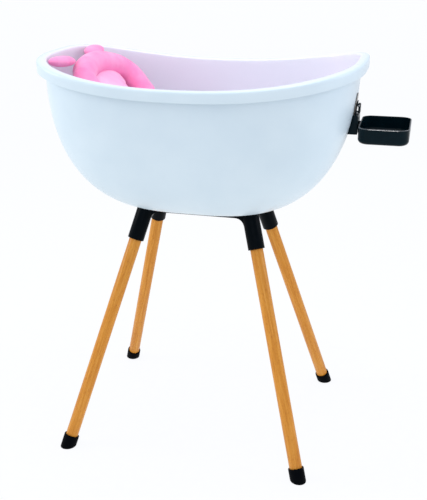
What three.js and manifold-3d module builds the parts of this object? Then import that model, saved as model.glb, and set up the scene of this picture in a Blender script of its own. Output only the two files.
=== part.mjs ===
// A baby bathtub that stands on a splayed four-legged stand, with a soap tray on a suction
// holder and a padded support cushion. Millimetres, +Z up, floor at z = 0. The tub's length
// runs along X, the soap tray is at the +X end and the cushion leans in the -X end.

import * as THREE from 'three';
import { mergeVertices } from 'three/addons/utils/BufferGeometryUtils.js';
import { ParametricGeometry } from 'three/addons/geometries/ParametricGeometry.js';
import Module from 'manifold-3d';

const wasm = await Module();
wasm.setup();

// ---- Driving dimensions: general fits ----
const TOUCH_GAP = 0.3; // between faces that rest on each other
const SHAFT_GAP = 0.35; // round a shaft in its hole

// ---- Driving numbers: facets ----
const TUB_SLICES = 56; // round the tub
const WALL_STEPS = 8; // up its wall
const LEG_STEPS = 24; // round a leg or a socket
const PIN_STEPS = 16; // round a small hole or pin

// ---- Driving dimensions: tub ----
const RIM_LENGTH = 750; // over the skirt of the rim
const RIM_WIDTH = 512;
const RIM_HEIGHT = 904; // floor to rim, at the middle of the long sides
const RIM_RISE = 44; // how much higher the rim is at both ends
const RIM_RISE_POWER = 2.2;
const PLAN_POWER = 3.25; // squareness of the plan, where 2 is an ellipse
const SKIRT_OVERHANG = 18; // wall to the outside of the skirt
const SKIRT_DEPTH = 25;
const SKIRT_THICKNESS = 3;
const RIM_ROUNDING = 6;
const WALL_SHOULDER = 20; // rim down to where the wall starts to curve in
const TUB_WALL = 3.5;
const BASE_HEIGHT = 595; // floor to the underside of the tub's flat base
const BASE_LENGTH = 214;
const BASE_WIDTH = 214;
const FLARE_POWER = 2.4; // the curve of the wall from base to shoulder
const ROUND_POWER = 2.09;
const SUMP_DEPTH = 12; // the sunk part of the floor, which drops into the stand
const SUMP_CORNER = 20;
const SUMP_GAP = 1.5;

// ---- Driving dimensions: drain ----
const DRAIN_OFFSET = 70; // from the tub's middle towards the soap tray
const DRAIN_BORE = 27;
const DRAIN_TUBE_WALL = 3;
const DRAIN_FLANGE = 50;
const DRAIN_FLANGE_THICKNESS = 2.4;
const DRAIN_TUBE_BELOW = 17; // below the sump's underside
const GASKET_THICKNESS = 2;
const GASKET_DIAMETER = 44;
const NUT_DIAMETER = 48;
const NUT_HEIGHT = 8;
const PLUG_TAPER = 1.2;
const PLUG_DEPTH = 12;
const PLUG_HEAD = 36;
const PLUG_HEAD_THICKNESS = 3;
const PLUG_KNOB = 13;
const PLUG_KNOB_HEIGHT = 9;

// ---- Driving dimensions: stand ----
const FOOT_SPREAD_X = 582; // between the legs' centres on the floor
const FOOT_SPREAD_Y = 496;
const SOCKET_SPREAD_X = 300; // between the legs' centres where they leave the sockets
const SOCKET_SPREAD_Y = 180;
const SOCKET_HEIGHT = 511; // floor to the lower end of a socket
const LEG_DIAMETER = 30.5;
const LEG_INSERTION = 55; // length of leg inside its socket
const SOCKET_WALL = 4.2;
const SOCKET_CEILING = 10;
const FRAME_DEPTH = 16;
const FRAME_BAR = 20;
const FRAME_CORNER = 24;
const FILLET = 24; // between a bar's underside and a socket
const FOOT_WALL = 3;
const FOOT_LENGTH = 31;
const FOOT_SOLE = 4; // rubber between the leg's lowest edge and the floor
const FOOT_EDGE = 1.5;

// ---- Driving dimensions: leg fasteners ----
const BOLT_DIAMETER = 8;
const BOLT_LENGTH = 50;
const BOLT_HEAD = 14;
const BOLT_HEAD_HEIGHT = 6;
const BOLT_HEX = 6;
const BOLT_HEX_DEPTH = 3;
const HEAD_RECESS_GAP = 2;
const INSERT_DIAMETER = 12.5;
const INSERT_LENGTH = 22;
const LEG_HOLE_SPARE = 6; // hole beyond the bolt's end

// ---- Driving dimensions: soap tray and its suction holder ----
const CUP_BELOW_RIM = 58; // middle of the long rim down to the middle of the suction cup
const CUP_HEIGHT = RIM_HEIGHT - CUP_BELOW_RIM;
const CUP_DIAMETER = 55;
const CUP_EDGE = 1.4;
const CUP_RIM_LIFT = 0.6; // wall to the cup's rim
const CUP_SHOULDER = 0.75; // share of the cup's radius where its middle starts to rise
const CUP_SHOULDER_LIFT = 1.2; // wall to the cup's shoulder
const CUP_MIDDLE = 1.2;
const STUD_DIAMETER = 6;
const STUD_FLANGE = 14;
const STUD_FLANGE_THICKNESS = 0.8;
const STUD_BEYOND_PIN = 2.4;
const HOLDER_PLATE = 2; // the plate that the lever pulls against
const HOLDER_PLATE_WIDTH = 22;
const HOLDER_PLATE_ABOVE_CUP = 8; // cup's middle to the plate's top
const HOLDER_PLATE_TOP = CUP_HEIGHT + HOLDER_PLATE_ABOVE_CUP;
const HOLDER_PLATE_ROOT = 15; // how far the plate runs down inside the wedge
const HOLDER_REACH = 9.08; // wall at the cup's middle to the wedge's flat outer face
const HOLDER_WIDTH = 60;
const HOLDER_BELOW_CUP = 20; // cup's middle to the wedge's top
const HOLDER_DEPTH = 43; // top to bottom of the wedge
const HOLDER_TOP = CUP_HEIGHT - HOLDER_BELOW_CUP;
const HOLDER_BOTTOM = HOLDER_TOP - HOLDER_DEPTH;
const LEVER_KNUCKLE = 3.2;
const LEVER_WIDTH = 22;
const LEVER_ARM = 17;
const LEVER_THICKNESS = 4.6;
const LEVER_PIN = 3;
const TRAY_LENGTH = 111.4; // along X, without its lip
const TRAY_WIDTH = 154;
const TRAY_DEPTH = 36;
const TRAY_BELOW_HOLDER = 19; // wedge's top to the tray's rim
const TRAY_HEIGHT = HOLDER_TOP - TRAY_BELOW_HOLDER; // floor to the tray's rim
const TRAY_WALL = 2.5;
const TRAY_CORNER = 24;
const TRAY_BOTTOM_ROUNDING = 10;
const TRAY_LIP = 0.8;
const TRAY_LIP_HEIGHT = 3;
const TRAY_STANDOFF = 3.9; // holder face to the tray's wall
const HOOK_SPACING = 40;
const HOOK_HEIGHT = 12;
const HOOK_BELOW_RIM = 2;
const HOOK_HEAD_WIDTH = 9.2;
const HOOK_HEAD_THICKNESS = 2.8;
const HOOK_NECK_WIDTH = 4.2;
const HOOK_NECK_LENGTH = 4; // inside the holder

// ---- Driving dimensions: support cushion ----
const CUSHION_FROM_END = 143; // tub's end to the middle of the head ring's upper arc
const CUSHION_X = CUSHION_FROM_END - RIM_LENGTH / 2;
const CUSHION_Y = 12;
const CUSHION_BELOW_RIM = 34;
const CUSHION_HEIGHT = RIM_HEIGHT - CUSHION_BELOW_RIM;
const CUSHION_FOOT_X = 64.79; // the cushion slopes down to this place over the tub's floor
const CUSHION_FOOT_LIFT = 17;
const CUSHION_DROP = CUSHION_HEIGHT - BASE_HEIGHT - CUSHION_FOOT_LIFT;
const CUSHION_TILT = THREE.MathUtils.radToDeg(
  Math.atan2(CUSHION_DROP, CUSHION_FOOT_X - CUSHION_X),
);
const RING_HALF_WIDTH = 130; // to the middle of the tube
const RING_HALF_HEIGHT = 66;
const RING_ARM = 62; // how far the arms run down the slope
const RING_ARM_HALF_WIDTH = 102; // to the middle of the tube, at the arms' ends
const RING_TUBE = 58;
const ARC_END = 105; // degrees either side of the ring's top
const ARC_STEP = 15;
const BALL_SHARE = 0.98; // the balls that round off the arms, as a share of the tube
const PAD_GAP = 5;
const PAD_WIDTH = 190;
const PAD_LENGTH = 392;
const PAD_THICKNESS = 40;
const PAD_TOP = 0; // above the middle of the ring's tube
const PAD_CORNER = 40;
const PAD_BEVEL = 8;
const EAR_WIDTH = 44;
const EAR_THICKNESS = 22;
const EAR_ROOT_FROM_END = 66;
const EAR_ROOT_Y = 60;
const EAR_ROOT_LIFT = -1.74; // above the rim's edge at the same distance from the end
const EAR_TIP_FROM_END = 52;
const EAR_TIP_Y = 138;
const EAR_TIP_LIFT = 0.32;

// ---- Materials ----
const finish = (color, roughness, metalness) =>
  new THREE.MeshStandardMaterial({ color, roughness, metalness });
const white = finish(0xe9f1f6, 0.35, 0);
const black = finish(0x0c1318, 0.45, 0);
const rubber = finish(0x14181b, 0.75, 0);
const beech = finish(0xdfa264, 0.55, 0);
const steel = finish(0xb9bdc0, 0.3, 1);
const brass = finish(0xc9a24b, 0.35, 1);
const silicone = finish(0xb8b6b0, 0.3, 0);
const pink = finish(0xf5a9d2, 0.85, 0);
const palePink = finish(0xf9c9e4, 0.85, 0);

// ---- Solids: from three.js geometry to manifold-3d and back ----

// Merges a geometry's shared vertices, drops its collapsed triangles and makes it a solid.
function solid(geometry) {
  const bare = geometry.clone();
  bare.deleteAttribute('normal');
  bare.deleteAttribute('uv');
  const merged = mergeVertices(bare, 1e-3);
  const corners = merged.index.array;
  const kept = [];
  for (let i = 0; i < corners.length; i += 3) {
    const [a, b, c] = [corners[i], corners[i + 1], corners[i + 2]];
    if (a !== b && b !== c && c !== a) kept.push(a, b, c);
  }
  const vertProperties = Float32Array.from(merged.attributes.position.array);
  const triVerts = Uint32Array.from(kept);
  return new wasm.Manifold(new wasm.Mesh({ numProp: 3, vertProperties, triVerts }));
}

// Turns a solid back into a three.js geometry.
function surface(body) {
  const mesh = body.getMesh();
  const geometry = new THREE.BufferGeometry();
  geometry.setAttribute('position', new THREE.BufferAttribute(mesh.vertProperties, 3));
  geometry.setIndex(new THREE.BufferAttribute(mesh.triVerts, 1));
  geometry.computeVertexNormals();
  return geometry;
}

const join = (bodies) => bodies.reduce((sum, body) => sum.add(body));
const cut = (body, tools) => tools.reduce((rest, tool) => rest.subtract(tool), body);

// A turned shape: the profile's points are [radius, height], and its axis is Z.
function turned(profile, steps = 28) {
  const points = profile.map(([radius, height]) => new THREE.Vector2(radius, height));
  return new THREE.LatheGeometry(points, steps).rotateX(Math.PI / 2);
}

// A rod along Z from one height to another.
function rod(radius, low, high, steps = 28) {
  return turned([[0, low], [radius, low], [radius, high], [0, high]], steps);
}

// A washer or tube along Z.
function tube(inner, outer, low, high, steps = 28) {
  const profile = [[inner, low], [outer, low], [outer, high], [inner, high], [inner, low]];
  return turned(profile, steps);
}

// A box between two corners.
function block(low, high) {
  const size = high.map((value, axis) => value - low[axis]);
  const middle = high.map((value, axis) => (value + low[axis]) / 2);
  return new THREE.BoxGeometry(...size).translate(...middle);
}

// An outline in X and Y, raised from one height to another.
function plate(shape, low, high, curveSegments = 6) {
  const geometry = new THREE.ExtrudeGeometry(shape, {
    depth: high - low,
    bevelEnabled: false,
    curveSegments,
  });
  return geometry.translate(0, 0, low);
}

function roundedRectangle(halfX, halfY, radius) {
  const shape = new THREE.Shape();
  shape.moveTo(-halfX + radius, -halfY);
  shape.lineTo(halfX - radius, -halfY);
  shape.absarc(halfX - radius, -halfY + radius, radius, -Math.PI / 2, 0);
  shape.lineTo(halfX, halfY - radius);
  shape.absarc(halfX - radius, halfY - radius, radius, 0, Math.PI / 2);
  shape.lineTo(-halfX + radius, halfY);
  shape.absarc(-halfX + radius, halfY - radius, radius, Math.PI / 2, Math.PI);
  shape.lineTo(-halfX, -halfY + radius);
  shape.absarc(-halfX + radius, -halfY + radius, radius, Math.PI, Math.PI * 1.5);
  return shape;
}

// ---- Tub: a wall that flares from a small base to a saddle-shaped rim ----

const WALL_HALF_LENGTH = RIM_LENGTH / 2 - SKIRT_OVERHANG;
const WALL_HALF_WIDTH = RIM_WIDTH / 2 - SKIRT_OVERHANG;

// Half the wall's size at a level from 0 at the base to 1 at the shoulder.
function wallHalf(level, baseHalf, topHalf) {
  const swell = (1 - (1 - level) ** FLARE_POWER) ** (1 / ROUND_POWER);
  return baseHalf + (topHalf - baseHalf) * swell;
}

// Height of the rim where the plan reaches a share of its half-length.
const rimHeight = (share) => RIM_HEIGHT + RIM_RISE * Math.abs(share) ** RIM_RISE_POWER;

// One point of the tub. A station has a level up the wall, an offset out from the wall's
// outer face, a lift, and a scale, which is 0 at the poles.
function tubPoint(angle, { level, offset = 0, lift = 0, scale = 1 }) {
  const power = 2 / PLAN_POWER;
  const alongX = Math.sign(Math.cos(angle)) * Math.abs(Math.cos(angle)) ** power;
  const alongY = Math.sign(Math.sin(angle)) * Math.abs(Math.sin(angle)) ** power;
  const halfX = wallHalf(level, BASE_LENGTH / 2, WALL_HALF_LENGTH);
  const halfY = wallHalf(level, BASE_WIDTH / 2, WALL_HALF_WIDTH);
  const shoulder = rimHeight((alongX * halfX) / WALL_HALF_LENGTH) - WALL_SHOULDER;
  const x = alongX * (halfX + offset) * scale;
  const y = alongY * (halfY + offset) * scale;
  const z = BASE_HEIGHT + (shoulder - BASE_HEIGHT) * level + lift;
  return new THREE.Vector3(x, y, z);
}

// A closed surface through rings of tub points, one ring for each station.
function tubSurface(stations, slices) {
  const point = (u, v, target) => {
    const station = stations[Math.round(v * (stations.length - 1))];
    const turn = Math.round(u * slices) % slices;
    target.copy(tubPoint((turn / slices) * Math.PI * 2, station));
  };
  return new ParametricGeometry(point, slices, stations.length - 1);
}

// Levels that lie close together where the wall curves most, near the base.
const LEVEL_SPREAD = 2.2;
const levels = Array.from({ length: WALL_STEPS + 1 }, (_, i) => (i / WALL_STEPS) ** LEVEL_SPREAD);

// The space inside the wall's outer face, grown by a clearance all round.
function tubEnvelope(clearance) {
  const wall = levels.map((level) => ({
    level,
    offset: clearance,
    lift: -clearance * (1 - level),
  }));
  const floor = { level: 0, lift: -clearance, scale: 0 };
  const lid = [
    { level: 1, offset: clearance, lift: WALL_SHOULDER },
    { level: 1, lift: WALL_SHOULDER, scale: 0 },
  ];
  return solid(tubSurface([floor, ...wall, ...lid], TUB_SLICES));
}

// The rounded rim, as [offset from the wall, drop below the rim], from under it to inside.
function rimStations() {
  const inner = SKIRT_OVERHANG - SKIRT_THICKNESS;
  const shave = RIM_ROUNDING * (1 - Math.SQRT1_2);
  const outline = [
    [0, SKIRT_THICKNESS],
    [inner, SKIRT_THICKNESS],
    [inner, SKIRT_DEPTH],
    [SKIRT_OVERHANG, SKIRT_DEPTH],
    [SKIRT_OVERHANG, RIM_ROUNDING],
    [SKIRT_OVERHANG - shave, shave],
    [SKIRT_OVERHANG - RIM_ROUNDING, 0],
    [RIM_ROUNDING - TUB_WALL, 0],
    [shave - TUB_WALL, shave],
    [-TUB_WALL, RIM_ROUNDING],
  ];
  return outline.map(([offset, drop]) => ({ level: 1, offset, lift: WALL_SHOULDER - drop }));
}

// The stand's ring lies on the legs' centre lines, and the sump fits inside the ring.
function legCentreAt(height) {
  const share = height / SOCKET_HEIGHT;
  return {
    x: (FOOT_SPREAD_X + (SOCKET_SPREAD_X - FOOT_SPREAD_X) * share) / 2,
    y: (FOOT_SPREAD_Y + (SOCKET_SPREAD_Y - FOOT_SPREAD_Y) * share) / 2,
  };
}
const RING_BOTTOM = BASE_HEIGHT - FRAME_DEPTH;
const ringLine = legCentreAt(BASE_HEIGHT - FRAME_DEPTH / 2);
const SUMP_HALF_LENGTH = ringLine.x - FRAME_BAR / 2 - SUMP_GAP;
const SUMP_HALF_WIDTH = ringLine.y - FRAME_BAR / 2 - SUMP_GAP;
const SUMP_UNDERSIDE = BASE_HEIGHT - SUMP_DEPTH;
const SUMP_FLOOR = SUMP_UNDERSIDE + TUB_WALL;

function sumpBlock(grow, low, high) {
  const shape = roundedRectangle(
    SUMP_HALF_LENGTH + grow,
    SUMP_HALF_WIDTH + grow,
    SUMP_CORNER + grow,
  );
  return solid(plate(shape, low, high));
}

const DRAIN_TUBE_RADIUS = DRAIN_BORE / 2 + DRAIN_TUBE_WALL;
const DRAIN_HOLE_RADIUS = DRAIN_TUBE_RADIUS + SHAFT_GAP;

function tubBasin() {
  const outside = levels.map((level) => ({ level }));
  const inside = levels
    .map((level) => ({ level, offset: -TUB_WALL, lift: TUB_WALL * (1 - level) }))
    .reverse();
  const underside = { level: 0, scale: 0 };
  const floor = { level: 0, lift: TUB_WALL, scale: 0 };
  const stations = [underside, ...outside, ...rimStations(), ...inside, floor];
  const bowl = solid(tubSurface(stations, TUB_SLICES));
  const sump = sumpBlock(0, SUMP_UNDERSIDE, BASE_HEIGHT + TUB_WALL / 2);
  const pocket = sumpBlock(-TUB_WALL, SUMP_FLOOR, BASE_HEIGHT + TUB_WALL * 2);
  const drainHole = rod(DRAIN_HOLE_RADIUS, SUMP_UNDERSIDE - 1, SUMP_FLOOR + 1);
  drainHole.translate(DRAIN_OFFSET, 0, 0);
  return surface(cut(bowl.add(sump), [pocket, solid(drainHole)]));
}

// ---- Drain: a flanged tube with its gasket, nut and plug, all along Z through the sump ----

function drainFlange() {
  const low = SUMP_UNDERSIDE - DRAIN_TUBE_BELOW;
  const seat = SUMP_FLOOR + TOUCH_GAP;
  const top = seat + DRAIN_FLANGE_THICKNESS;
  const profile = [
    [DRAIN_BORE / 2, low],
    [DRAIN_TUBE_RADIUS, low],
    [DRAIN_TUBE_RADIUS, seat],
    [DRAIN_FLANGE / 2, seat],
    [DRAIN_FLANGE / 2 - 1, top],
    [DRAIN_BORE / 2 + 1, top],
    [DRAIN_BORE / 2, top - 1],
    [DRAIN_BORE / 2, low],
  ];
  return turned(profile);
}

function drainGasket() {
  const high = SUMP_UNDERSIDE - TOUCH_GAP;
  return tube(DRAIN_HOLE_RADIUS, GASKET_DIAMETER / 2, high - GASKET_THICKNESS, high);
}

function drainNut() {
  const high = SUMP_UNDERSIDE - GASKET_THICKNESS - 2 * TOUCH_GAP;
  const low = high - NUT_HEIGHT;
  const blank = solid(rod(NUT_DIAMETER / 2, low, high, 8));
  return surface(blank.subtract(solid(rod(DRAIN_HOLE_RADIUS, low - 1, high + 1))));
}

function drainPlug() {
  const seat = SUMP_FLOOR + TOUCH_GAP + DRAIN_FLANGE_THICKNESS + TOUCH_GAP;
  const stem = DRAIN_BORE / 2 - SHAFT_GAP;
  const head = seat + PLUG_HEAD_THICKNESS;
  const profile = [
    [0, seat - PLUG_DEPTH],
    [stem - PLUG_TAPER, seat - PLUG_DEPTH],
    [stem, seat],
    [PLUG_HEAD / 2, seat],
    [PLUG_HEAD / 2 - 1, head],
    [PLUG_KNOB / 2 - 2, head],
    [PLUG_KNOB / 2 - 2, head + PLUG_KNOB_HEIGHT / 2],
    [PLUG_KNOB / 2, head + PLUG_KNOB_HEIGHT * 0.75],
    [PLUG_KNOB / 2 - 2, head + PLUG_KNOB_HEIGHT],
    [0, head + PLUG_KNOB_HEIGHT],
  ];
  return turned(profile);
}

// ---- Stand: four splayed legs, each in its own frame with Z along the leg ----

const corners = [
  { name: 'front_left', x: -1, y: -1 },
  { name: 'front_right', x: 1, y: -1 },
  { name: 'rear_left', x: -1, y: 1 },
  { name: 'rear_right', x: 1, y: 1 },
];

// The frame of one leg: its origin is the leg's centre on the floor.
function legFrame(corner) {
  const foot = new THREE.Vector3((corner.x * FOOT_SPREAD_X) / 2, (corner.y * FOOT_SPREAD_Y) / 2, 0);
  const mouth = new THREE.Vector3(
    (corner.x * SOCKET_SPREAD_X) / 2,
    (corner.y * SOCKET_SPREAD_Y) / 2,
    SOCKET_HEIGHT,
  );
  const frame = new THREE.Object3D();
  const direction = mouth.clone().sub(foot).normalize();
  frame.position.copy(foot);
  frame.quaternion.setFromUnitVectors(new THREE.Vector3(0, 0, 1), direction);
  frame.updateMatrix();
  return frame;
}

// Distances along a leg's centre line, from the floor.
const footToMouth = new THREE.Vector3(
  (FOOT_SPREAD_X - SOCKET_SPREAD_X) / 2,
  (FOOT_SPREAD_Y - SOCKET_SPREAD_Y) / 2,
  SOCKET_HEIGHT,
);
const LEG_LEAN = footToMouth.angleTo(new THREE.Vector3(0, 0, 1));
const LEG_RADIUS = LEG_DIAMETER / 2;
const MOUTH = footToMouth.length();
const LEG_TOP = MOUTH + LEG_INSERTION;
const LEG_BOTTOM = (FOOT_SOLE + LEG_RADIUS * Math.sin(LEG_LEAN)) / Math.cos(LEG_LEAN);
const BORE_TOP = LEG_TOP + TOUCH_GAP;
const HEAD_SEAT = BORE_TOP + SOCKET_CEILING;
const BOLT_UNDERHEAD = HEAD_SEAT + TOUCH_GAP;
const BOLT_TIP = BOLT_UNDERHEAD - BOLT_LENGTH;
const SOCKET_RADIUS = LEG_RADIUS + SHAFT_GAP + SOCKET_WALL;
const SOCKET_TOP = BASE_HEIGHT / Math.cos(LEG_LEAN) + LEG_DIAMETER; // before the tub's cut

function leg() {
  const insertHole = INSERT_DIAMETER / 2 + SHAFT_GAP;
  const boltHole = BOLT_DIAMETER / 2 + SHAFT_GAP;
  const insertEnd = LEG_TOP - INSERT_LENGTH - TOUCH_GAP;
  const holeEnd = BOLT_TIP - LEG_HOLE_SPARE;
  const profile = [
    [0, LEG_BOTTOM],
    [LEG_RADIUS, LEG_BOTTOM],
    [LEG_RADIUS, LEG_TOP],
    [insertHole, LEG_TOP],
    [insertHole, insertEnd],
    [boltHole, insertEnd],
    [boltHole, holeEnd],
    [0, holeEnd],
  ];
  return turned(profile, LEG_STEPS);
}

function threadedInsert() {
  const inner = BOLT_DIAMETER / 2 + SHAFT_GAP;
  return tube(inner, INSERT_DIAMETER / 2, LEG_TOP - INSERT_LENGTH, LEG_TOP, PIN_STEPS);
}

function legBolt() {
  const top = BOLT_UNDERHEAD + BOLT_HEAD_HEIGHT;
  const profile = [
    [0, BOLT_TIP],
    [BOLT_DIAMETER / 2 - 1, BOLT_TIP],
    [BOLT_DIAMETER / 2, BOLT_TIP + 1],
    [BOLT_DIAMETER / 2, BOLT_UNDERHEAD],
    [BOLT_HEAD / 2, BOLT_UNDERHEAD],
    [BOLT_HEAD / 2, top],
    [0, top],
  ];
  const hexRadius = BOLT_HEX / Math.sqrt(3);
  const hex = rod(hexRadius, top - BOLT_HEX_DEPTH, top + 1, 6);
  return surface(solid(turned(profile, PIN_STEPS)).subtract(solid(hex)));
}

// The rubber cap on a leg's end, cut level with the floor.
function footCap(frame) {
  const bore = LEG_RADIUS + SHAFT_GAP;
  const outer = bore + FOOT_WALL;
  const boreEnd = LEG_BOTTOM - TOUCH_GAP;
  const below = -outer * Math.tan(LEG_LEAN) - 1;
  const profile = [
    [0, below],
    [outer, below],
    [outer, FOOT_LENGTH - FOOT_EDGE],
    [outer - FOOT_EDGE / 2, FOOT_LENGTH],
    [bore, FOOT_LENGTH],
    [bore, boreEnd],
    [0, boreEnd],
  ];
  const cap = solid(turned(profile, LEG_STEPS).applyMatrix4(frame.matrix));
  const reach = 2 * FOOT_LENGTH;
  const { x, y } = frame.position;
  const underfloor = block([x - reach, y - reach, -reach], [x + reach, y + reach, 0]);
  return surface(cap.subtract(solid(underfloor)));
}

// A concave fillet between a bar's underside and a socket, drawn in the bar's own plane.
// The lean is the slope of the leg in that plane.
function filletWeb(centreAtBottom, lean, thickness) {
  const slope = Math.tan(lean);
  const side = centreAtBottom - SOCKET_RADIUS / Math.cos(lean);
  const run = FILLET / Math.tan((Math.PI / 2 + lean) / 2);
  const endX = side + run * Math.sin(lean);
  const endZ = RING_BOTTOM - run * Math.cos(lean);
  const shape = new THREE.Shape();
  shape.moveTo(side - run, RING_BOTTOM);
  shape.quadraticCurveTo(side, RING_BOTTOM, endX, endZ);
  shape.lineTo(centreAtBottom + slope * run, endZ);
  shape.lineTo(centreAtBottom, RING_BOTTOM + FRAME_DEPTH / 3);
  shape.lineTo(side - run, RING_BOTTOM + FRAME_DEPTH / 3);
  return plate(shape, -thickness / 2, thickness / 2).rotateX(Math.PI / 2);
}

// The moulded frame: a ring with a socket at each corner and fillets under its bars, shaped
// on top to the tub's underside.
function standFrame(frames) {
  const high = BASE_HEIGHT + FRAME_DEPTH / 2;
  const outline = roundedRectangle(
    ringLine.x + FRAME_BAR / 2,
    ringLine.y + FRAME_BAR / 2,
    FRAME_CORNER + FRAME_BAR,
  );
  outline.holes.push(
    roundedRectangle(ringLine.x - FRAME_BAR / 2, ringLine.y - FRAME_BAR / 2, FRAME_CORNER),
  );
  const body = [solid(plate(outline, RING_BOTTOM, high))];
  const tools = [tubEnvelope(TOUCH_GAP)];
  tools.push(sumpBlock(SUMP_GAP, SUMP_UNDERSIDE - SUMP_GAP, high + 1));
  const atBottom = legCentreAt(RING_BOTTOM);
  const leanX = Math.atan((FOOT_SPREAD_X - SOCKET_SPREAD_X) / 2 / SOCKET_HEIGHT);
  const leanY = Math.atan((FOOT_SPREAD_Y - SOCKET_SPREAD_Y) / 2 / SOCKET_HEIGHT);
  for (const [index, corner] of corners.entries()) {
    const place = frames[index].matrix;
    const along = (geometry) => solid(geometry.applyMatrix4(place));
    body.push(along(rod(SOCKET_RADIUS, MOUTH, SOCKET_TOP, LEG_STEPS)));
    const longWeb = filletWeb(atBottom.x, leanX, FRAME_BAR);
    longWeb.rotateZ(corner.x > 0 ? 0 : Math.PI).translate(0, corner.y * ringLine.y, 0);
    const shortWeb = filletWeb(atBottom.y, leanY, FRAME_BAR);
    shortWeb.rotateZ((corner.y * Math.PI) / 2).translate(corner.x * ringLine.x, 0, 0);
    body.push(solid(longWeb), solid(shortWeb));
    tools.push(along(rod(LEG_RADIUS + SHAFT_GAP, MOUTH - 1, BORE_TOP, LEG_STEPS)));
    const boltHole = BOLT_DIAMETER / 2 + SHAFT_GAP;
    tools.push(along(rod(boltHole, BORE_TOP - 1, HEAD_SEAT + 1, PIN_STEPS)));
    const recess = BOLT_HEAD / 2 + HEAD_RECESS_GAP;
    tools.push(along(rod(recess, HEAD_SEAT, SOCKET_TOP + 1, PIN_STEPS)));
  }
  return surface(cut(join(body), tools));
}

// ---- Soap tray and suction holder, at the tub's +X end ----

// The wall's outer face at the tub's end, at a height: found by halving the level's range.
const HALVINGS = 40;
function endWallX(height) {
  let low = 0;
  let high = 1;
  for (let halving = 0; halving < HALVINGS; halving += 1) {
    const middle = (low + high) / 2;
    if (tubPoint(0, { level: middle }).z < height) low = middle;
    else high = middle;
  }
  return tubPoint(0, { level: low }).x;
}

// The wedge's flat outer face.
const HOLDER_FACE_X = endWallX(CUP_HEIGHT) + HOLDER_REACH;

// Offsets from the wall along the suction cup's axis.
const STUD_FLANGE_BACK = 0.4;
const CUP_BACK = STUD_FLANGE_BACK + STUD_FLANGE_THICKNESS + TOUCH_GAP;
const CUP_FRONT = CUP_BACK + CUP_MIDDLE;
const PLATE_BACK = CUP_FRONT + TOUCH_GAP;
const PLATE_FRONT = PLATE_BACK + HOLDER_PLATE;
const PIN_OFFSET = PLATE_FRONT + TOUCH_GAP + LEVER_KNUCKLE;

// The frame of the suction cup: Z points straight out from the wall.
function cupFrame() {
  const rise = CUP_DIAMETER / 4;
  const slope = (endWallX(CUP_HEIGHT + rise) - endWallX(CUP_HEIGHT - rise)) / (2 * rise);
  const frame = new THREE.Object3D();
  frame.position.set(endWallX(CUP_HEIGHT), 0, CUP_HEIGHT);
  frame.rotation.set(0, Math.PI / 2 + Math.atan(slope), 0);
  frame.updateMatrix();
  return frame;
}

function suctionCup() {
  const hole = STUD_DIAMETER / 2 + SHAFT_GAP;
  const radius = CUP_DIAMETER / 2;
  const profile = [
    [hole, CUP_BACK],
    [STUD_FLANGE / 2, CUP_BACK],
    [radius * CUP_SHOULDER, CUP_SHOULDER_LIFT],
    [radius, CUP_RIM_LIFT],
    [radius, CUP_RIM_LIFT + CUP_EDGE / 2],
    [radius * CUP_SHOULDER, CUP_SHOULDER_LIFT + CUP_EDGE],
    [STUD_FLANGE / 2, CUP_FRONT],
    [hole, CUP_FRONT],
    [hole, CUP_BACK],
  ];
  return turned(profile);
}

// The stud pulls the cup's middle outwards: its flange is behind the cup, and the lever's
// pin goes through its free end.
function pullStud() {
  const end = PIN_OFFSET + STUD_BEYOND_PIN;
  const flangeFront = STUD_FLANGE_BACK + STUD_FLANGE_THICKNESS;
  const profile = [
    [0, STUD_FLANGE_BACK],
    [STUD_FLANGE / 2, STUD_FLANGE_BACK],
    [STUD_FLANGE / 2, flangeFront],
    [STUD_DIAMETER / 2, flangeFront],
    [STUD_DIAMETER / 2, end],
    [0, end],
  ];
  return surface(solid(turned(profile, PIN_STEPS)).subtract(pinHole()));
}

// The pin's hole across the stud and the lever, in the cup's frame.
function pinHole() {
  const hole = rod(LEVER_PIN / 2 + SHAFT_GAP, -LEVER_WIDTH, LEVER_WIDTH, PIN_STEPS);
  return solid(hole.rotateX(Math.PI / 2).translate(0, 0, PIN_OFFSET));
}

function leverPin() {
  const half = LEVER_WIDTH / 2;
  const pin = rod(LEVER_PIN / 2, -half, half, PIN_STEPS);
  return pin.rotateX(Math.PI / 2).translate(0, 0, PIN_OFFSET);
}

// The cam lever, in an upright frame whose origin is the pin: a round knuckle with an arm
// that hangs down, and a slot in the middle for the stud.
function lockLever() {
  const shape = new THREE.Shape();
  const outside = LEVER_KNUCKLE;
  shape.moveTo(outside, 0);
  shape.absarc(0, 0, LEVER_KNUCKLE, 0, Math.PI * 1.1);
  shape.lineTo(outside - LEVER_THICKNESS, -LEVER_KNUCKLE);
  shape.lineTo(outside - LEVER_THICKNESS, -LEVER_ARM + 1);
  shape.lineTo(outside - LEVER_THICKNESS + 1, -LEVER_ARM);
  shape.lineTo(outside - 1, -LEVER_ARM);
  shape.lineTo(outside, -LEVER_ARM + 1);
  const half = LEVER_WIDTH / 2;
  const body = solid(plate(shape, -half, half, 8).rotateX(Math.PI / 2));
  const slotHalf = STUD_DIAMETER / 2 + TOUCH_GAP;
  const reach = 2 * LEVER_KNUCKLE;
  const slot = solid(
    block([-reach, -slotHalf, -LEVER_KNUCKLE - 2], [reach, slotHalf, LEVER_KNUCKLE + 1]),
  );
  const hole = rod(LEVER_PIN / 2 + SHAFT_GAP, -half - 1, half + 1, PIN_STEPS);
  return surface(cut(body, [slot, solid(hole.rotateX(Math.PI / 2))]));
}

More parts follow.
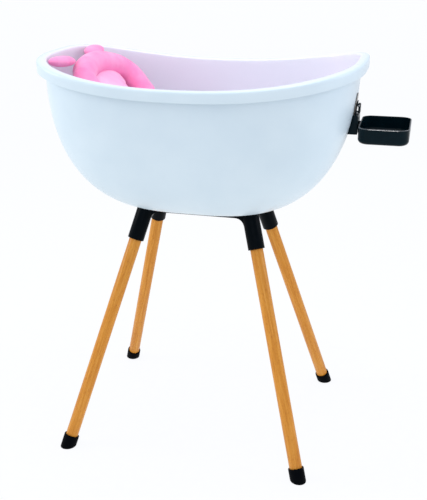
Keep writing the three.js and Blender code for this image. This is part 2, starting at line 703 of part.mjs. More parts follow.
// Where the tray's hooks go: the T-slots in the holder are these shapes, grown by a gap and
// run out through the holder's top, so the tray lifts off upwards.
const HOOK_TOP = TRAY_HEIGHT - HOOK_BELOW_RIM;
const HOOK_BOTTOM = HOOK_TOP - HOOK_HEIGHT;
function hookShapes(gap, top) {
  const neckBack = HOLDER_FACE_X - HOOK_NECK_LENGTH;
  const headBack = neckBack - HOOK_HEAD_THICKNESS;
  const wall = HOLDER_FACE_X + TRAY_STANDOFF + TRAY_WALL / 2;
  const shapes = [];
  for (const side of [-1, 1]) {
    const middle = (side * HOOK_SPACING) / 2;
    const head = HOOK_HEAD_WIDTH / 2 + gap;
    const neck = HOOK_NECK_WIDTH / 2 + gap;
    const low = HOOK_BOTTOM - gap;
    shapes.push(solid(block(
      [headBack - gap, middle - head, low],
      [neckBack + gap, middle + head, top],
    )));
    shapes.push(solid(block([neckBack - 1, middle - neck, low], [wall, middle + neck, top])));
  }
  return shapes;
}

// The holder: a wedge between the wall and a plumb outer face, and above it the plate that
// the suction cup's stud goes through.
function trayHolder(frame) {
  const half = HOLDER_WIDTH / 2;
  const inside = endWallX(HOLDER_BOTTOM) - TUB_WALL;
  const wedge = solid(block([inside, -half, HOLDER_BOTTOM], [HOLDER_FACE_X, half, HOLDER_TOP]));
  const plateHalf = HOLDER_PLATE_WIDTH / 2;
  const plateLow = HOLDER_TOP - CUP_HEIGHT - HOLDER_PLATE_ROOT;
  const plateHigh = HOLDER_PLATE_TOP - CUP_HEIGHT;
  const uprightPlate = block(
    [-plateHigh, -plateHalf, PLATE_BACK],
    [-plateLow, plateHalf, PLATE_FRONT],
  );
  const plateBody = solid(uprightPlate.applyMatrix4(frame.matrix));
  const studRadius = STUD_DIAMETER / 2 + SHAFT_GAP;
  const studHole = rod(studRadius, PLATE_BACK - 1, PLATE_FRONT + 1, PIN_STEPS);
  const behindCup = rod(CUP_DIAMETER / 2 + 1, -1, PLATE_BACK);
  const tools = [
    tubEnvelope(2 * TOUCH_GAP),
    solid(studHole.applyMatrix4(frame.matrix)),
    solid(behindCup.applyMatrix4(frame.matrix)),
    ...hookShapes(TOUCH_GAP, HOLDER_TOP + 1),
  ];
  return surface(cut(wedge.add(plateBody), tools));
}

// A point round a rounded rectangle, and a closed surface through rings of such points.
const CORNER_STEPS = 6;
function traySurface(profile) {
  const slices = 4 * CORNER_STEPS;
  const point = (u, v, target) => {
    const [inset, height, scale] = profile[Math.round(v * (profile.length - 1))];
    const index = Math.round(u * slices) % slices;
    const quarter = Math.floor(index / CORNER_STEPS);
    const share = (index % CORNER_STEPS) / (CORNER_STEPS - 1);
    const angle = (quarter + share) * (Math.PI / 2);
    const signX = quarter === 0 || quarter === 3 ? 1 : -1;
    const signY = quarter < 2 ? 1 : -1;
    const radius = TRAY_CORNER - inset;
    const x = signX * (TRAY_LENGTH / 2 - TRAY_CORNER) + radius * Math.cos(angle);
    const y = signY * (TRAY_WIDTH / 2 - TRAY_CORNER) + radius * Math.sin(angle);
    target.set(x * scale, y * scale, height);
  };
  return new ParametricGeometry(point, slices, profile.length - 1);
}

// The profile of the tray, as [inset, height, scale]: up the outside, over the lip and down
// the inside.
function soapTray() {
  const rounding = (radius, inset, bottom) =>
    [0, 30, 60, 90].map((degrees) => {
      const turn = THREE.MathUtils.degToRad(degrees);
      return [inset + radius * (1 - Math.sin(turn)), bottom + radius * (1 - Math.cos(turn)), 1];
    });
  const inner = rounding(TRAY_BOTTOM_ROUNDING - TRAY_WALL, TRAY_WALL, TRAY_WALL - TRAY_DEPTH);
  const profile = [
    [0, -TRAY_DEPTH, 0],
    ...rounding(TRAY_BOTTOM_ROUNDING, 0, -TRAY_DEPTH),
    [0, -TRAY_LIP_HEIGHT, 1],
    [-TRAY_LIP, -TRAY_LIP_HEIGHT, 1],
    [-TRAY_LIP, -1, 1],
    [-TRAY_LIP + 1, 0, 1],
    [TRAY_WALL - 1, 0, 1],
    [TRAY_WALL, -1, 1],
    ...inner.reverse(),
    [0, TRAY_WALL - TRAY_DEPTH, 0],
  ];
  const shell = solid(traySurface(profile).translate(trayMiddleX, 0, TRAY_HEIGHT));
  return surface(join([shell, ...hookShapes(0, HOOK_TOP)]));
}
const trayMiddleX = HOLDER_FACE_X + TRAY_STANDOFF + TRAY_LENGTH / 2;
const TRAY_END_X = trayMiddleX + TRAY_LENGTH / 2 + TRAY_LIP;

// ---- Support cushion, in a frame whose X runs down its slope and whose Z is its top ----

function headRing() {
  const path = [];
  const arms = (side) => new THREE.Vector3(RING_ARM, side * RING_ARM_HALF_WIDTH, 0);
  path.push(arms(-1));
  for (let degrees = -ARC_END; degrees <= ARC_END; degrees += ARC_STEP) {
    const turn = THREE.MathUtils.degToRad(degrees);
    const x = -RING_HALF_HEIGHT * Math.cos(turn);
    path.push(new THREE.Vector3(x, RING_HALF_WIDTH * Math.sin(turn), 0));
  }
  path.push(arms(1));
  const radius = RING_TUBE / 2;
  const section = new THREE.Shape();
  section.absarc(0, 0, radius, 0, Math.PI * 2);
  const arc = new THREE.ExtrudeGeometry(section, {
    steps: 26,
    curveSegments: 10,
    bevelEnabled: false,
    extrudePath: new THREE.CatmullRomCurve3(path),
  });
  const ends = [-1, 1].map((side) => {
    const ball = new THREE.SphereGeometry(radius * BALL_SHARE, 16, 10);
    return solid(ball.translate(...arms(side).toArray()));
  });
  return surface(join([solid(arc), ...ends]));
}

// The pad: a half-ellipse inside the ring's upper arc, a neck between the arms' ends, then
// straight sides down the slope. The extrusion's bevel grows the outline by its own size.
function bodyPad() {
  const inset = RING_TUBE / 2 + PAD_GAP + PAD_BEVEL;
  const archHeight = RING_HALF_HEIGHT - inset;
  const archHalf = RING_HALF_WIDTH - inset;
  const neckHalf = RING_ARM_HALF_WIDTH - inset;
  const half = PAD_WIDTH / 2 - PAD_BEVEL;
  const wideX = 2 * RING_ARM + RING_TUBE;
  const end = PAD_LENGTH - archHeight - PAD_BEVEL;
  const corner = PAD_CORNER - PAD_BEVEL;
  const shape = new THREE.Shape();
  shape.moveTo(0, -archHalf);
  shape.bezierCurveTo(RING_ARM / 2, -archHalf, RING_ARM / 2, -neckHalf, RING_ARM, -neckHalf);
  shape.bezierCurveTo(RING_ARM + RING_TUBE, -neckHalf, wideX - RING_TUBE, -half, wideX, -half);
  shape.lineTo(end - corner, -half);
  shape.absarc(end - corner, -half + corner, corner, -Math.PI / 2, 0);
  shape.lineTo(end, half - corner);
  shape.absarc(end - corner, half - corner, corner, 0, Math.PI / 2);
  shape.lineTo(wideX, half);
  shape.bezierCurveTo(wideX - RING_TUBE, half, RING_ARM + RING_TUBE, neckHalf, RING_ARM, neckHalf);
  shape.bezierCurveTo(RING_ARM / 2, neckHalf, RING_ARM / 2, archHalf, 0, archHalf);
  shape.absellipse(0, 0, archHeight, archHalf, Math.PI / 2, Math.PI * 1.5);
  const geometry = new THREE.ExtrudeGeometry(shape, {
    depth: PAD_THICKNESS - 2 * PAD_BEVEL,
    bevelThickness: PAD_BEVEL,
    bevelSize: PAD_BEVEL,
    bevelSegments: 2,
    curveSegments: 6,
  });
  return geometry.translate(0, 0, PAD_TOP - PAD_THICKNESS + PAD_BEVEL);
}

// A point near the rim's end, lifted from the height that the saddle has there.
function nearRimEnd(fromEnd, y, lift) {
  const x = fromEnd - RIM_LENGTH / 2;
  const rise = RIM_RISE * Math.abs(x / (RIM_LENGTH / 2)) ** RIM_RISE_POWER;
  return new THREE.Vector3(x, y, RIM_HEIGHT + rise + lift);
}

// An ear: a flattened ball drawn out from its root to its tip, in the tub's own axes.
function ear(side) {
  const root = nearRimEnd(EAR_ROOT_FROM_END, side * EAR_ROOT_Y, EAR_ROOT_LIFT);
  const tip = nearRimEnd(EAR_TIP_FROM_END, side * EAR_TIP_Y, EAR_TIP_LIFT);
  const length = root.distanceTo(tip);
  const geometry = new THREE.SphereGeometry(0.5, 18, 12);
  const along = tip.clone().sub(root).normalize();
  const turn = new THREE.Matrix4().lookAt(tip, root, new THREE.Vector3(0, 0, 1));
  geometry.scale(EAR_WIDTH, EAR_THICKNESS, length);
  geometry.applyMatrix4(turn);
  const middle = root.addScaledVector(along, length / 2);
  return geometry.translate(middle.x, middle.y, middle.z);
}

// ---- Assembly: the origin is on the floor, under the middle of the object's box ----

const bathtub = new THREE.Group();
bathtub.position.x = -(TRAY_END_X - RIM_LENGTH / 2) / 2;

function part(name, geometry, material, parent = bathtub) {
  const mesh = new THREE.Mesh(geometry, material);
  mesh.name = name;
  parent.add(mesh);
  return mesh;
}

function placed(frame) {
  const group = new THREE.Group();
  group.position.copy(frame.position);
  group.quaternion.copy(frame.quaternion);
  bathtub.add(group);
  return group;
}

const legFrames = corners.map(legFrame);
part('stand_frame', standFrame(legFrames), black);
for (const [index, corner] of corners.entries()) {
  const group = placed(legFrames[index]);
  part('leg_' + corner.name, leg(), beech, group);
  part('leg_insert_' + corner.name, threadedInsert(), brass, group);
  part('leg_bolt_' + corner.name, legBolt(), steel, group);
  part('foot_cap_' + corner.name, footCap(legFrames[index]), rubber);
}

part('tub_basin', tubBasin(), white);
const drain = new THREE.Group();
drain.position.x = DRAIN_OFFSET;
bathtub.add(drain);
part('drain_flange', drainFlange(), white, drain);
part('drain_gasket', drainGasket(), rubber, drain);
part('drain_nut', drainNut(), white, drain);
part('drain_plug', drainPlug(), silicone, drain);

const suction = cupFrame();
const suctionGroup = placed(suction);
part('suction_cup', suctionCup(), silicone, suctionGroup);
part('pull_stud', pullStud(), black, suctionGroup);
part('lever_pin', leverPin(), steel, suctionGroup);
part('tray_holder', trayHolder(suction), black);
const pinPlace = new THREE.Vector3(0, 0, PIN_OFFSET).applyMatrix4(suction.matrix);
part('lock_lever', lockLever(), black).position.copy(pinPlace);
part('soap_tray', soapTray(), black);

const cushion = new THREE.Group();
cushion.position.set(CUSHION_X, CUSHION_Y, CUSHION_HEIGHT);
cushion.rotation.y = THREE.MathUtils.degToRad(CUSHION_TILT);
bathtub.add(cushion);
part('cushion_head_ring', headRing(), pink, cushion);
part('cushion_body_pad', bodyPad(), palePink, cushion);
part('cushion_ear_front', ear(-1), pink);
part('cushion_ear_rear', ear(1), pink);

export default bathtub;
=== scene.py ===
# %% [markdown]
# # A baby bathtub on a wooden-legged stand
# The exact parts were modelled first, as plain faceted solids that carry every size and every
# joint. This lesson dresses them: it loads those parts as a fixed frame, models a finer piece
# over each one that the eye rests on, and gives every surface the finish of its real material.
# Loading comes first, because every later cell asks the frame where things are.

# %% Load the frame
import math
import time

import bmesh
import bpy
import numpy as np
from mathutils import Matrix, Vector, noise


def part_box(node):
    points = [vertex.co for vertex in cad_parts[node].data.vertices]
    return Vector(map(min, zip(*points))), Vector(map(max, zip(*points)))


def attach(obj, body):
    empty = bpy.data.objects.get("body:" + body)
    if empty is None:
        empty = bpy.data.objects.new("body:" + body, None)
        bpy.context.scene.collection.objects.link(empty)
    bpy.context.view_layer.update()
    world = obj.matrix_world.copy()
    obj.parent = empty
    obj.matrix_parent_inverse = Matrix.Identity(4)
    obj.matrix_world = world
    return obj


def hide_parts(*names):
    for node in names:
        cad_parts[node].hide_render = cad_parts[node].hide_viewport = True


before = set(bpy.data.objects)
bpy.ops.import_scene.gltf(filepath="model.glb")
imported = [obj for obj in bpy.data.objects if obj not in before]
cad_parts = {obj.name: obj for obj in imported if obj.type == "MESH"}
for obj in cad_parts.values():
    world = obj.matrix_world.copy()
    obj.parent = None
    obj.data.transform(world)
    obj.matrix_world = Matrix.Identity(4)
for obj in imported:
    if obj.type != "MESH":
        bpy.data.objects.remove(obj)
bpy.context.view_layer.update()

MM = 0.001

# %% [markdown]
# ## A few tools for modelling by hand
# Blender's operators act on whatever is selected, just as they do when a person clicks. So a
# piece is always picked alone before work starts on it. Vertices and faces are then selected by
# where they are, which is the script's way of pointing at them.

# %% Selection helpers
def pick(piece):
    """Selects one object and nothing else."""
    if bpy.context.mode != "OBJECT":
        bpy.ops.object.mode_set(mode="OBJECT")
    bpy.ops.object.select_all(action="DESELECT")
    piece.select_set(True)
    bpy.context.view_layer.objects.active = piece
    return piece


def edit(piece, kind="FACE"):
    """Opens a piece in edit mode with nothing selected, and gives its editable mesh."""
    pick(piece)
    bpy.ops.object.mode_set(mode="EDIT")
    bpy.ops.mesh.select_mode(type=kind)
    bpy.ops.mesh.select_all(action="DESELECT")
    return bmesh.from_edit_mesh(piece.data)


def select(piece, kind, wanted):
    """Selects the vertices, edges or faces that a test accepts, in edit mode."""
    bpy.ops.mesh.select_mode(type=kind)
    bpy.ops.mesh.select_all(action="DESELECT")
    shape = bmesh.from_edit_mesh(piece.data)
    parts = {"VERT": shape.verts, "EDGE": shape.edges, "FACE": shape.faces}[kind]
    found = [part for part in parts if wanted(part)]
    for part in found:
        part.select_set(True)
    shape.select_flush_mode()
    bmesh.update_edit_mesh(piece.data)
    return len(found)


def done():
    bpy.ops.object.mode_set(mode="OBJECT")


def middle(edge):
    return (edge.verts[0].co + edge.verts[1].co) / 2


# %% [markdown]
# Modifiers do what would be slow by hand, such as rounding every edge. They are applied
# straight away, so that a finished piece holds nothing but its mesh. A finished piece also has
# its object at the origin, and rides on the moving body of the frame that it belongs to.

# %% Finishing helpers
def apply_modifier(piece, kind, **settings):
    pick(piece)
    modifier = piece.modifiers.new(kind.title(), kind)
    for name, value in settings.items():
        setattr(modifier, name, value)
    bpy.ops.object.modifier_apply(modifier=modifier.name)


def place(piece, matrix):
    """Moves a piece that was modelled upright at the origin, and leaves its object there."""
    piece.data.transform(matrix)
    piece.data.update()


def smooth(piece, angle=35):
    pick(piece)
    bpy.ops.object.shade_smooth_by_angle(angle=math.radians(angle))


def finish_piece(piece, name, body, nodes, material):
    """Names a piece, gives it its finish and hangs it on the frame in place of its nodes."""
    piece.name = name
    piece.data.name = name
    piece.data.materials.clear()
    piece.data.materials.append(material)
    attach(piece, body)
    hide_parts(*nodes)
    print(f"{name}: {len(piece.data.polygons)} faces on {body}")
    return piece


# %% [markdown]
# ## Where things are
# The tub is symmetrical, so the middle of its box is the middle of the whole stand. A turned
# part, such as a leg, is found by its own vertices: the direction in which they spread most is
# its axis, and the mean of them lies on it.

# %% Places from the frame
tub_low, tub_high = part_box("tub_basin")
TUB_X = (tub_low.x + tub_high.x) / 2


def axis_frame(node):
    """A matrix whose Z runs up a long turned part, and the part's lowest and highest on it."""
    points = np.array([vertex.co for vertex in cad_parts[node].data.vertices])
    points = np.unique(points.round(6), axis=0)
    centre = points.mean(0)
    spread = np.linalg.svd(points - centre, full_matrices=False)[2][0]
    direction = Vector(spread if spread[2] > 0 else -spread)
    heights = (points - centre) @ np.array(direction)
    turn = Vector((0, 0, 1)).rotation_difference(direction).to_matrix().to_4x4()
    return Matrix.Translation(Vector(centre)) @ turn, heights.min(), heights.max()


print("middle of the tub:", round(TUB_X, 4))

# %% [markdown]
# ## Tools for materials
# A material is a small network of nodes. One function adds a node, sets its values and draws
# its links, and another turns the hex colours of everyday picture tools into the linear
# numbers that the renderer mixes.

# %% Material helpers
def colour(code):
    """An sRGB hex code as a linear colour with alpha 1."""
    parts = [int(code[i:i + 2], 16) / 255 for i in (0, 2, 4)]
    linear = [c / 12.92 if c <= 0.04045 else ((c + 0.055) / 1.055) ** 2.4 for c in parts]
    return (*linear, 1.0)


def add_node(tree, kind, inputs=None, **settings):
    """Adds a node. An input's value is a number, a colour or another node's output."""
    node = tree.nodes.new(kind)
    for name, value in settings.items():
        setattr(node, name, value)
    for name, value in (inputs or {}).items():
        if isinstance(value, bpy.types.NodeSocket):
            tree.links.new(value, node.inputs[name])
        else:
            node.inputs[name].default_value = value
    return node


def new_material(name, **constants):
    """A material with a Principled shader whose constant values sit on its own sockets."""
    material = bpy.data.materials.new(name)
    material.use_nodes = True
    shader = material.node_tree.nodes["Principled BSDF"]
    for socket, value in constants.items():
        shader.inputs[socket.replace("_", " ")].default_value = value
    return material, material.node_tree, shader


def ramp(tree, factor, stops):
    """A colour ramp through [position, colour] stops."""
    node = add_node(tree, "ShaderNodeValToRGB", {"Fac": factor})
    stops_left = list(stops)
    while len(node.color_ramp.elements) < len(stops_left):
        node.color_ramp.elements.new(0.5)
    for element, (position, shade) in zip(node.color_ramp.elements, stops_left):
        element.position = position
        element.color = shade
    return node


def bump(tree, shader, height, depth_mm, strength=1.0):
    """Shallow relief, with its depth in millimetres."""
    relief = add_node(tree, "ShaderNodeBump", {
        "Height": height, "Distance": depth_mm * MM, "Strength": strength})
    tree.links.new(relief.outputs["Normal"], shader.inputs["Normal"])
    return relief


def per_metre(size_mm):
    """The scale of a pattern whose features are this many millimetres apart."""
    return 1000 / size_mm


# %% [markdown]
# ## Finish: the tub's polypropylene
# Baby baths are injection moulded in polypropylene, a waxy white plastic. It comes out of a
# polished mould with a soft gloss, and it shrinks a little as it cools, which leaves a shallow
# unevenness some millimetres across and very slightly cloudy patches of colour. The outer face
# is a cool blue-white. The inner face, and the floor where it faces up, are painted a paler,
# pinker white. This is painted light, for the pink light that the cushion throws back and the
# light that the walls throw at each other. The tub's vertices say how much of this painted light
# they get, in an attribute called "inside", and a Mix node reads it.

# %% White polypropylene
def make_polypropylene(name, light, shade, inside=None):
    material, tree, shader = new_material(name, IOR=1.49, Coat_Weight=0.12, Coat_Roughness=0.18)
    where = add_node(tree, "ShaderNodeTexCoord")
    cloud = add_node(tree, "ShaderNodeTexNoise", {
        "Vector": where.outputs["Object"], "Scale": per_metre(90), "Detail": 3.0})
    tint = ramp(tree, cloud.outputs["Fac"], [(0.35, colour(light)), (0.7, colour(shade))])
    tree.links.new(tint.outputs["Color"], shader.inputs["Base Color"])
    # Painted light: the "inside" share mixes in a paler, pinker white for the light that the
    # cushion and the walls throw into the tub.
    if inside:
        side = add_node(tree, "ShaderNodeAttribute", attribute_name="inside")
        both = add_node(tree, "ShaderNodeMix", data_type="RGBA")
        both.inputs[7].default_value = colour(inside)
        tree.links.new(side.outputs["Fac"], both.inputs[0])
        tree.links.new(tint.outputs["Color"], both.inputs[6])
        tree.links.new(both.outputs[2], shader.inputs["Base Color"])
    peel = add_node(tree, "ShaderNodeTexNoise", {
        "Vector": where.outputs["Object"], "Scale": per_metre(6), "Detail": 2.0})
    rough = add_node(tree, "ShaderNodeMapRange", {
        "Value": cloud.outputs["Fac"], "To Min": 0.34, "To Max": 0.42})
    tree.links.new(rough.outputs["Result"], shader.inputs["Roughness"])
    bump(tree, shader, peel.outputs["Fac"], 0.05, 0.5)
    return material


# EAEDF6 is painted light on the tub's inner face, not a second colour of the plastic.
polypropylene = make_polypropylene(
    "white moulded polypropylene", "D7E7F0", "D2E3ED", inside="EAEDF6")
drain_white = make_polypropylene("white acetal drain", "EDF1F3", "E6EBEE")
print("made", polypropylene.name)

# %% [markdown]
# ## Finish: black nylon, ABS and rubber
# The frame is moulded in glass-filled nylon, from a mould with a fine spark-eroded grain that
# breaks up its shine. The soap tray and its holder are ABS from a polished mould, so they
# gleam, with a cold tint. The foot caps are soft rubber, duller and slightly rubbed.

# %% Black plastics and rubber
def make_black(name, dark, worn, roughness, grain_mm, depth_mm, gloss, coat=0.0):
    material, tree, shader = new_material(
        name, IOR=1.53, Specular_IOR_Level=gloss, Coat_Weight=coat, Coat_Roughness=0.08)
    where = add_node(tree, "ShaderNodeTexCoord")
    patches = add_node(tree, "ShaderNodeTexNoise", {
        "Vector": where.outputs["Object"], "Scale": per_metre(14), "Detail": 4.0})
    tint = ramp(tree, patches.outputs["Fac"], [(0.4, colour(dark)), (0.8, colour(worn))])
    tree.links.new(tint.outputs["Color"], shader.inputs["Base Color"])
    rough = add_node(tree, "ShaderNodeMapRange", {
        "Value": patches.outputs["Fac"], "To Min": roughness - 0.04, "To Max": roughness + 0.06})
    tree.links.new(rough.outputs["Result"], shader.inputs["Roughness"])
    grain = add_node(tree, "ShaderNodeTexNoise", {
        "Vector": where.outputs["Object"], "Scale": per_metre(grain_mm), "Detail": 2.0})
    bump(tree, shader, grain.outputs["Fac"], depth_mm, 0.6)
    return material


# A spark-eroded grain is about 0.1 mm across; it is drawn at 1.2 mm so that it shows.
nylon = make_black("black glass-filled nylon", "02070B", "050B10", 0.36, 1.2, 0.05, 0.035)
abs_black = make_black("polished black ABS", "02151C", "041A21", 0.2, 9, 0.01, 0.07)
foot_rubber = make_black("black foot rubber", "020408", "05070B", 0.5, 1.6, 0.08, 0.03)
gasket_rubber = make_black("soft gasket rubber", "0A0A0B", "161617", 0.65, 1.6, 0.08, 0.2)
# The buffed edge is glossier, to catch the small overhead lamp, and lighter in colour than the
# tray's ABS. The lighter colour is a painted highlight.
abs_edge_highlight = make_black("buffed black ABS edge with painted highlight", "0A1A20", "10242B", 0.22, 9, 0.01, 1.0, 1.0)
print("made", nylon.name, "and its relatives")

# %% [markdown]
# ## Finish: beech
# The legs are turned from beech. Its grain runs along the leg in fine streaks, and short dark
# flecks, a millimetre or two long, lie in the same direction. The pattern follows the wood and
# not the room, so each leg carries its own coordinates, written on its vertices as the
# attribute "wood_place", and the nodes stretch the streaks along that attribute's Z.

# %% Varnished beech
def make_beech():
    material, tree, shader = new_material(
        "varnished beech", IOR=1.5, Specular_IOR_Level=0.25, Coat_Weight=0.08,
        Coat_Roughness=0.25)
    place_on_leg = add_node(tree, "ShaderNodeAttribute", attribute_name="wood_place")
    along = add_node(tree, "ShaderNodeMapping", {
        "Vector": place_on_leg.outputs["Vector"], "Scale": (1.0, 1.0, 0.045)})
    streaks = add_node(tree, "ShaderNodeTexNoise", {
        "Vector": along.outputs["Vector"], "Scale": per_metre(5), "Detail": 5.0,
        "Roughness": 0.6, "Distortion": 0.3})
    tint = ramp(tree, streaks.outputs["Fac"], [
        (0.28, colour("C47A20")), (0.5, colour("D68E30")), (0.72, colour("E6A448"))])
    fleck_place = add_node(tree, "ShaderNodeMapping", {
        "Vector": place_on_leg.outputs["Vector"], "Scale": (1.0, 1.0, 0.12)})
    flecks = add_node(tree, "ShaderNodeTexNoise", {
        "Vector": fleck_place.outputs["Vector"], "Scale": per_metre(1.1), "Detail": 1.0})
    dark = ramp(tree, flecks.outputs["Fac"], [
        (0.6, colour("FFFFFF")), (0.72, colour("B98040"))])
    both = add_node(tree, "ShaderNodeMix", data_type="RGBA", blend_type="MULTIPLY")
    both.inputs["Factor"].default_value = 0.55
    tree.links.new(tint.outputs["Color"], both.inputs[6])
    tree.links.new(dark.outputs["Color"], both.inputs[7])
    tree.links.new(both.outputs[2], shader.inputs["Base Color"])
    rough = add_node(tree, "ShaderNodeMapRange", {
        "Value": streaks.outputs["Fac"], "To Min": 0.5, "To Max": 0.36})
    tree.links.new(rough.outputs["Result"], shader.inputs["Roughness"])
    bump(tree, shader, flecks.outputs["Fac"], 0.05, 0.4)
    return material


beech = make_beech()
print("made", beech.name)

# %% [markdown]
# ## Finish: metal and silicone
# The screws that nobody sees are zinc-plated steel, with the fine rings of the lathe, and the
# threaded inserts are brass. The suction cup is smoky silicone: light passes through it, but
# its surface is soft and slightly clouded.

# %% Metals, silicone and plug rubber
def make_metal(name, bright, dull, roughness):
    material, tree, shader = new_material(name, Metallic=1.0)
    where = add_node(tree, "ShaderNodeTexCoord")
    rings = add_node(tree, "ShaderNodeTexNoise", {
        "Vector": where.outputs["Object"], "Scale": per_metre(1.5), "Detail": 3.0})
    tint = ramp(tree, rings.outputs["Fac"], [(0.35, colour(dull)), (0.65, colour(bright))])
    tree.links.new(tint.outputs["Color"], shader.inputs["Base Color"])
    rough = add_node(tree, "ShaderNodeMapRange", {
        "Value": rings.outputs["Fac"], "To Min": roughness + 0.1, "To Max": roughness})
    tree.links.new(rough.outputs["Result"], shader.inputs["Roughness"])
    bump(tree, shader, rings.outputs["Fac"], 0.02, 0.5)
    return material


def make_silicone():
    material, tree, shader = new_material(
        "smoky silicone", IOR=1.41, Transmission_Weight=0.55, Coat_Weight=0.15)
    where = add_node(tree, "ShaderNodeTexCoord")
    haze = add_node(tree, "ShaderNodeTexNoise", {
        "Vector": where.outputs["Object"], "Scale": per_metre(12), "Detail": 3.0})
    tint = ramp(tree, haze.outputs["Fac"], [(0.3, colour("8F8883")), (0.7, colour("B5AEA8"))])
    tree.links.new(tint.outputs["Color"], shader.inputs["Base Color"])
    rough = add_node(tree, "ShaderNodeMapRange", {
        "Value": haze.outputs["Fac"], "To Min": 0.18, "To Max": 0.35})
    tree.links.new(rough.outputs["Result"], shader.inputs["Roughness"])
    bump(tree, shader, haze.outputs["Fac"], 0.05, 0.4)
    return material


zinc = make_metal("zinc-plated steel", "C9CCD0", "9DA1A6", 0.25)
brass = make_metal("machined brass", "D6AE5C", "B48A3C", 0.25)
silicone = make_silicone()
plug_rubber = make_black("pale plug rubber", "AEB3B8", "C3C7CB", 0.5, 1.6, 0.08, 0.5)
print("made", silicone.name)

# %% [markdown]
# ## Finish: the cushion's knitted fabric
# The cushion is covered in a brushed polyester knit. Up close it shows rows of stitches about
# a millimetre and a half apart, drawn here at 2.4 mm so that they show, and its loose fibres
# catch light at the edges, which the shader's sheen gives. A faint unevenness in the dye keeps
# the pink from looking painted.

# %% Pink knit
def make_knit(name, deep, mid, pale):
    material, tree, shader = new_material(
        name, Roughness=0.85, Sheen_Weight=0.45, Sheen_Roughness=0.4,
        Sheen_Tint=colour("FFE3F4"), Specular_IOR_Level=0.25)
    where = add_node(tree, "ShaderNodeTexCoord")
    dye = add_node(tree, "ShaderNodeTexNoise", {
        "Vector": where.outputs["Object"], "Scale": per_metre(45), "Detail": 4.0})
    tint = ramp(tree, dye.outputs["Fac"], [
        (0.3, colour(deep)), (0.5, colour(mid)), (0.7, colour(pale))])
    rows = add_node(tree, "ShaderNodeTexWave", {
        "Vector": where.outputs["Object"], "Scale": per_metre(2.4) / 3.14, "Distortion": 1.5,
        "Detail": 1.0}, bands_direction="DIAGONAL")
    fibres = add_node(tree, "ShaderNodeTexNoise", {
        "Vector": where.outputs["Object"], "Scale": per_metre(2), "Detail": 3.0})
    tree.links.new(tint.outputs["Color"], shader.inputs["Base Color"])
    relief = add_node(tree, "ShaderNodeMath", {0: rows.outputs["Fac"], 1: fibres.outputs["Fac"]},
                      operation="ADD")
    bump(tree, shader, relief.outputs["Value"], 0.25, 0.35)
    return material


knit_pink = make_knit("pink brushed knit", "FF86BE", "FF97C9", "FFA8D3")
knit_pale = make_knit("pale pink brushed knit", "FFA9D5", "FFB6DC", "FFC4E3")
print("made", knit_pink.name)

# %% [markdown]
# ## The tub
# The real tub is one moulding: a wall about 3.5 mm thick that flares from a small base to a
# wide rim, and a rim that folds over into a skirt and rises at both ends like a saddle. Its
# plan is between an ellipse and a rectangle, which a "superellipse" draws: a circle whose
# points are pushed out by a power. It could be sculpted or bent from a box, but a wall made
# ring by ring keeps its thickness and its curve under control, so it starts as a circle that
# is extruded again and again, and each new ring is moved to its place.

# %% The tub's sizes, in millimetres
RIM_HALF = (375, 256)
RIM_HEIGHT, RIM_RISE, RIM_RISE_POWER = 904, 44, 2.2
PLAN_POWER = 3.25
OVERHANG, SKIRT_DEPTH, SKIRT_THICKNESS = 18, 25, 3
RIM_ROUND, SHOULDER, WALL = 6, 20, 3.5
BASE_HEIGHT, BASE_HALF = 595, (107, 107)
FLARE_POWER, ROUND_POWER = 2.4, 2.09
TUB_SLICES = 168
WALL_LEVELS = [(i / 30) ** 2.0 for i in range(31)]


def swell(level):
    return (1 - (1 - level) ** FLARE_POWER) ** (1 / ROUND_POWER)


def tub_point(angle, level, offset, lift, scale=1.0):
    """A point of the tub: a level up the wall, an offset outwards and a lift."""
    c, s = math.cos(angle), math.sin(angle)
    along_x = math.copysign(abs(c) ** (2 / PLAN_POWER), c)
    along_y = math.copysign(abs(s) ** (2 / PLAN_POWER), s)
    wall_x = RIM_HALF[0] - OVERHANG
    wall_y = RIM_HALF[1] - OVERHANG
    half_x = BASE_HALF[0] + (wall_x - BASE_HALF[0]) * swell(level)
    half_y = BASE_HALF[1] + (wall_y - BASE_HALF[1]) * swell(level)
    share = abs(along_x * half_x / wall_x)
    shoulder = RIM_HEIGHT + RIM_RISE * share ** RIM_RISE_POWER - SHOULDER
    x = along_x * (half_x + offset) * scale
    y = along_y * (half_y + offset) * scale
    z = BASE_HEIGHT + (shoulder - BASE_HEIGHT) * level + lift
    return Vector((x * MM + TUB_X, y * MM, z * MM))


def arc(centre_offset, centre_drop, radius, start, end, steps=5):
    """Points of a rounding in the rim's section, as [offset, drop below the rim]."""
    turns = [math.radians(start + (end - start) * i / steps) for i in range(steps + 1)]
    return [(centre_offset + radius * math.cos(t), centre_drop - radius * math.sin(t))
            for t in turns]


print("rim section rounds over", RIM_ROUND, "mm")

# %% [markdown]
# The rim's section is listed from under the skirt, round its lower edge, up the outside, over
# the rounded top and down to the inside. Each pair is a distance out from the wall and a drop
# below the rim, so the same list serves all the way round the saddle.

# %% The rings of the tub, from the base outside to the floor inside
SKIRT_EDGE = 1.2
skirt_inner = OVERHANG - SKIRT_THICKNESS
section = [(0, SKIRT_THICKNESS + 2), (2, SKIRT_THICKNESS), (skirt_inner, SKIRT_THICKNESS)]
section += arc(skirt_inner + SKIRT_EDGE, SKIRT_DEPTH - SKIRT_EDGE, SKIRT_EDGE, 180, 270, 3)
section += arc(OVERHANG - SKIRT_EDGE, SKIRT_DEPTH - SKIRT_EDGE, SKIRT_EDGE, 270, 360, 3)
section += arc(OVERHANG - RIM_ROUND, RIM_ROUND, RIM_ROUND, 0, 90)
section += arc(RIM_ROUND - WALL, RIM_ROUND, RIM_ROUND, 90, 180)

rings = [(level, 0.0, 0.0) for level in WALL_LEVELS]
rings += [(1.0, out, SHOULDER - drop) for out, drop in section]
rings += [(level, -WALL, WALL * (1 - level)) for level in reversed(WALL_LEVELS)]
print("the tub has", len(rings), "rings")


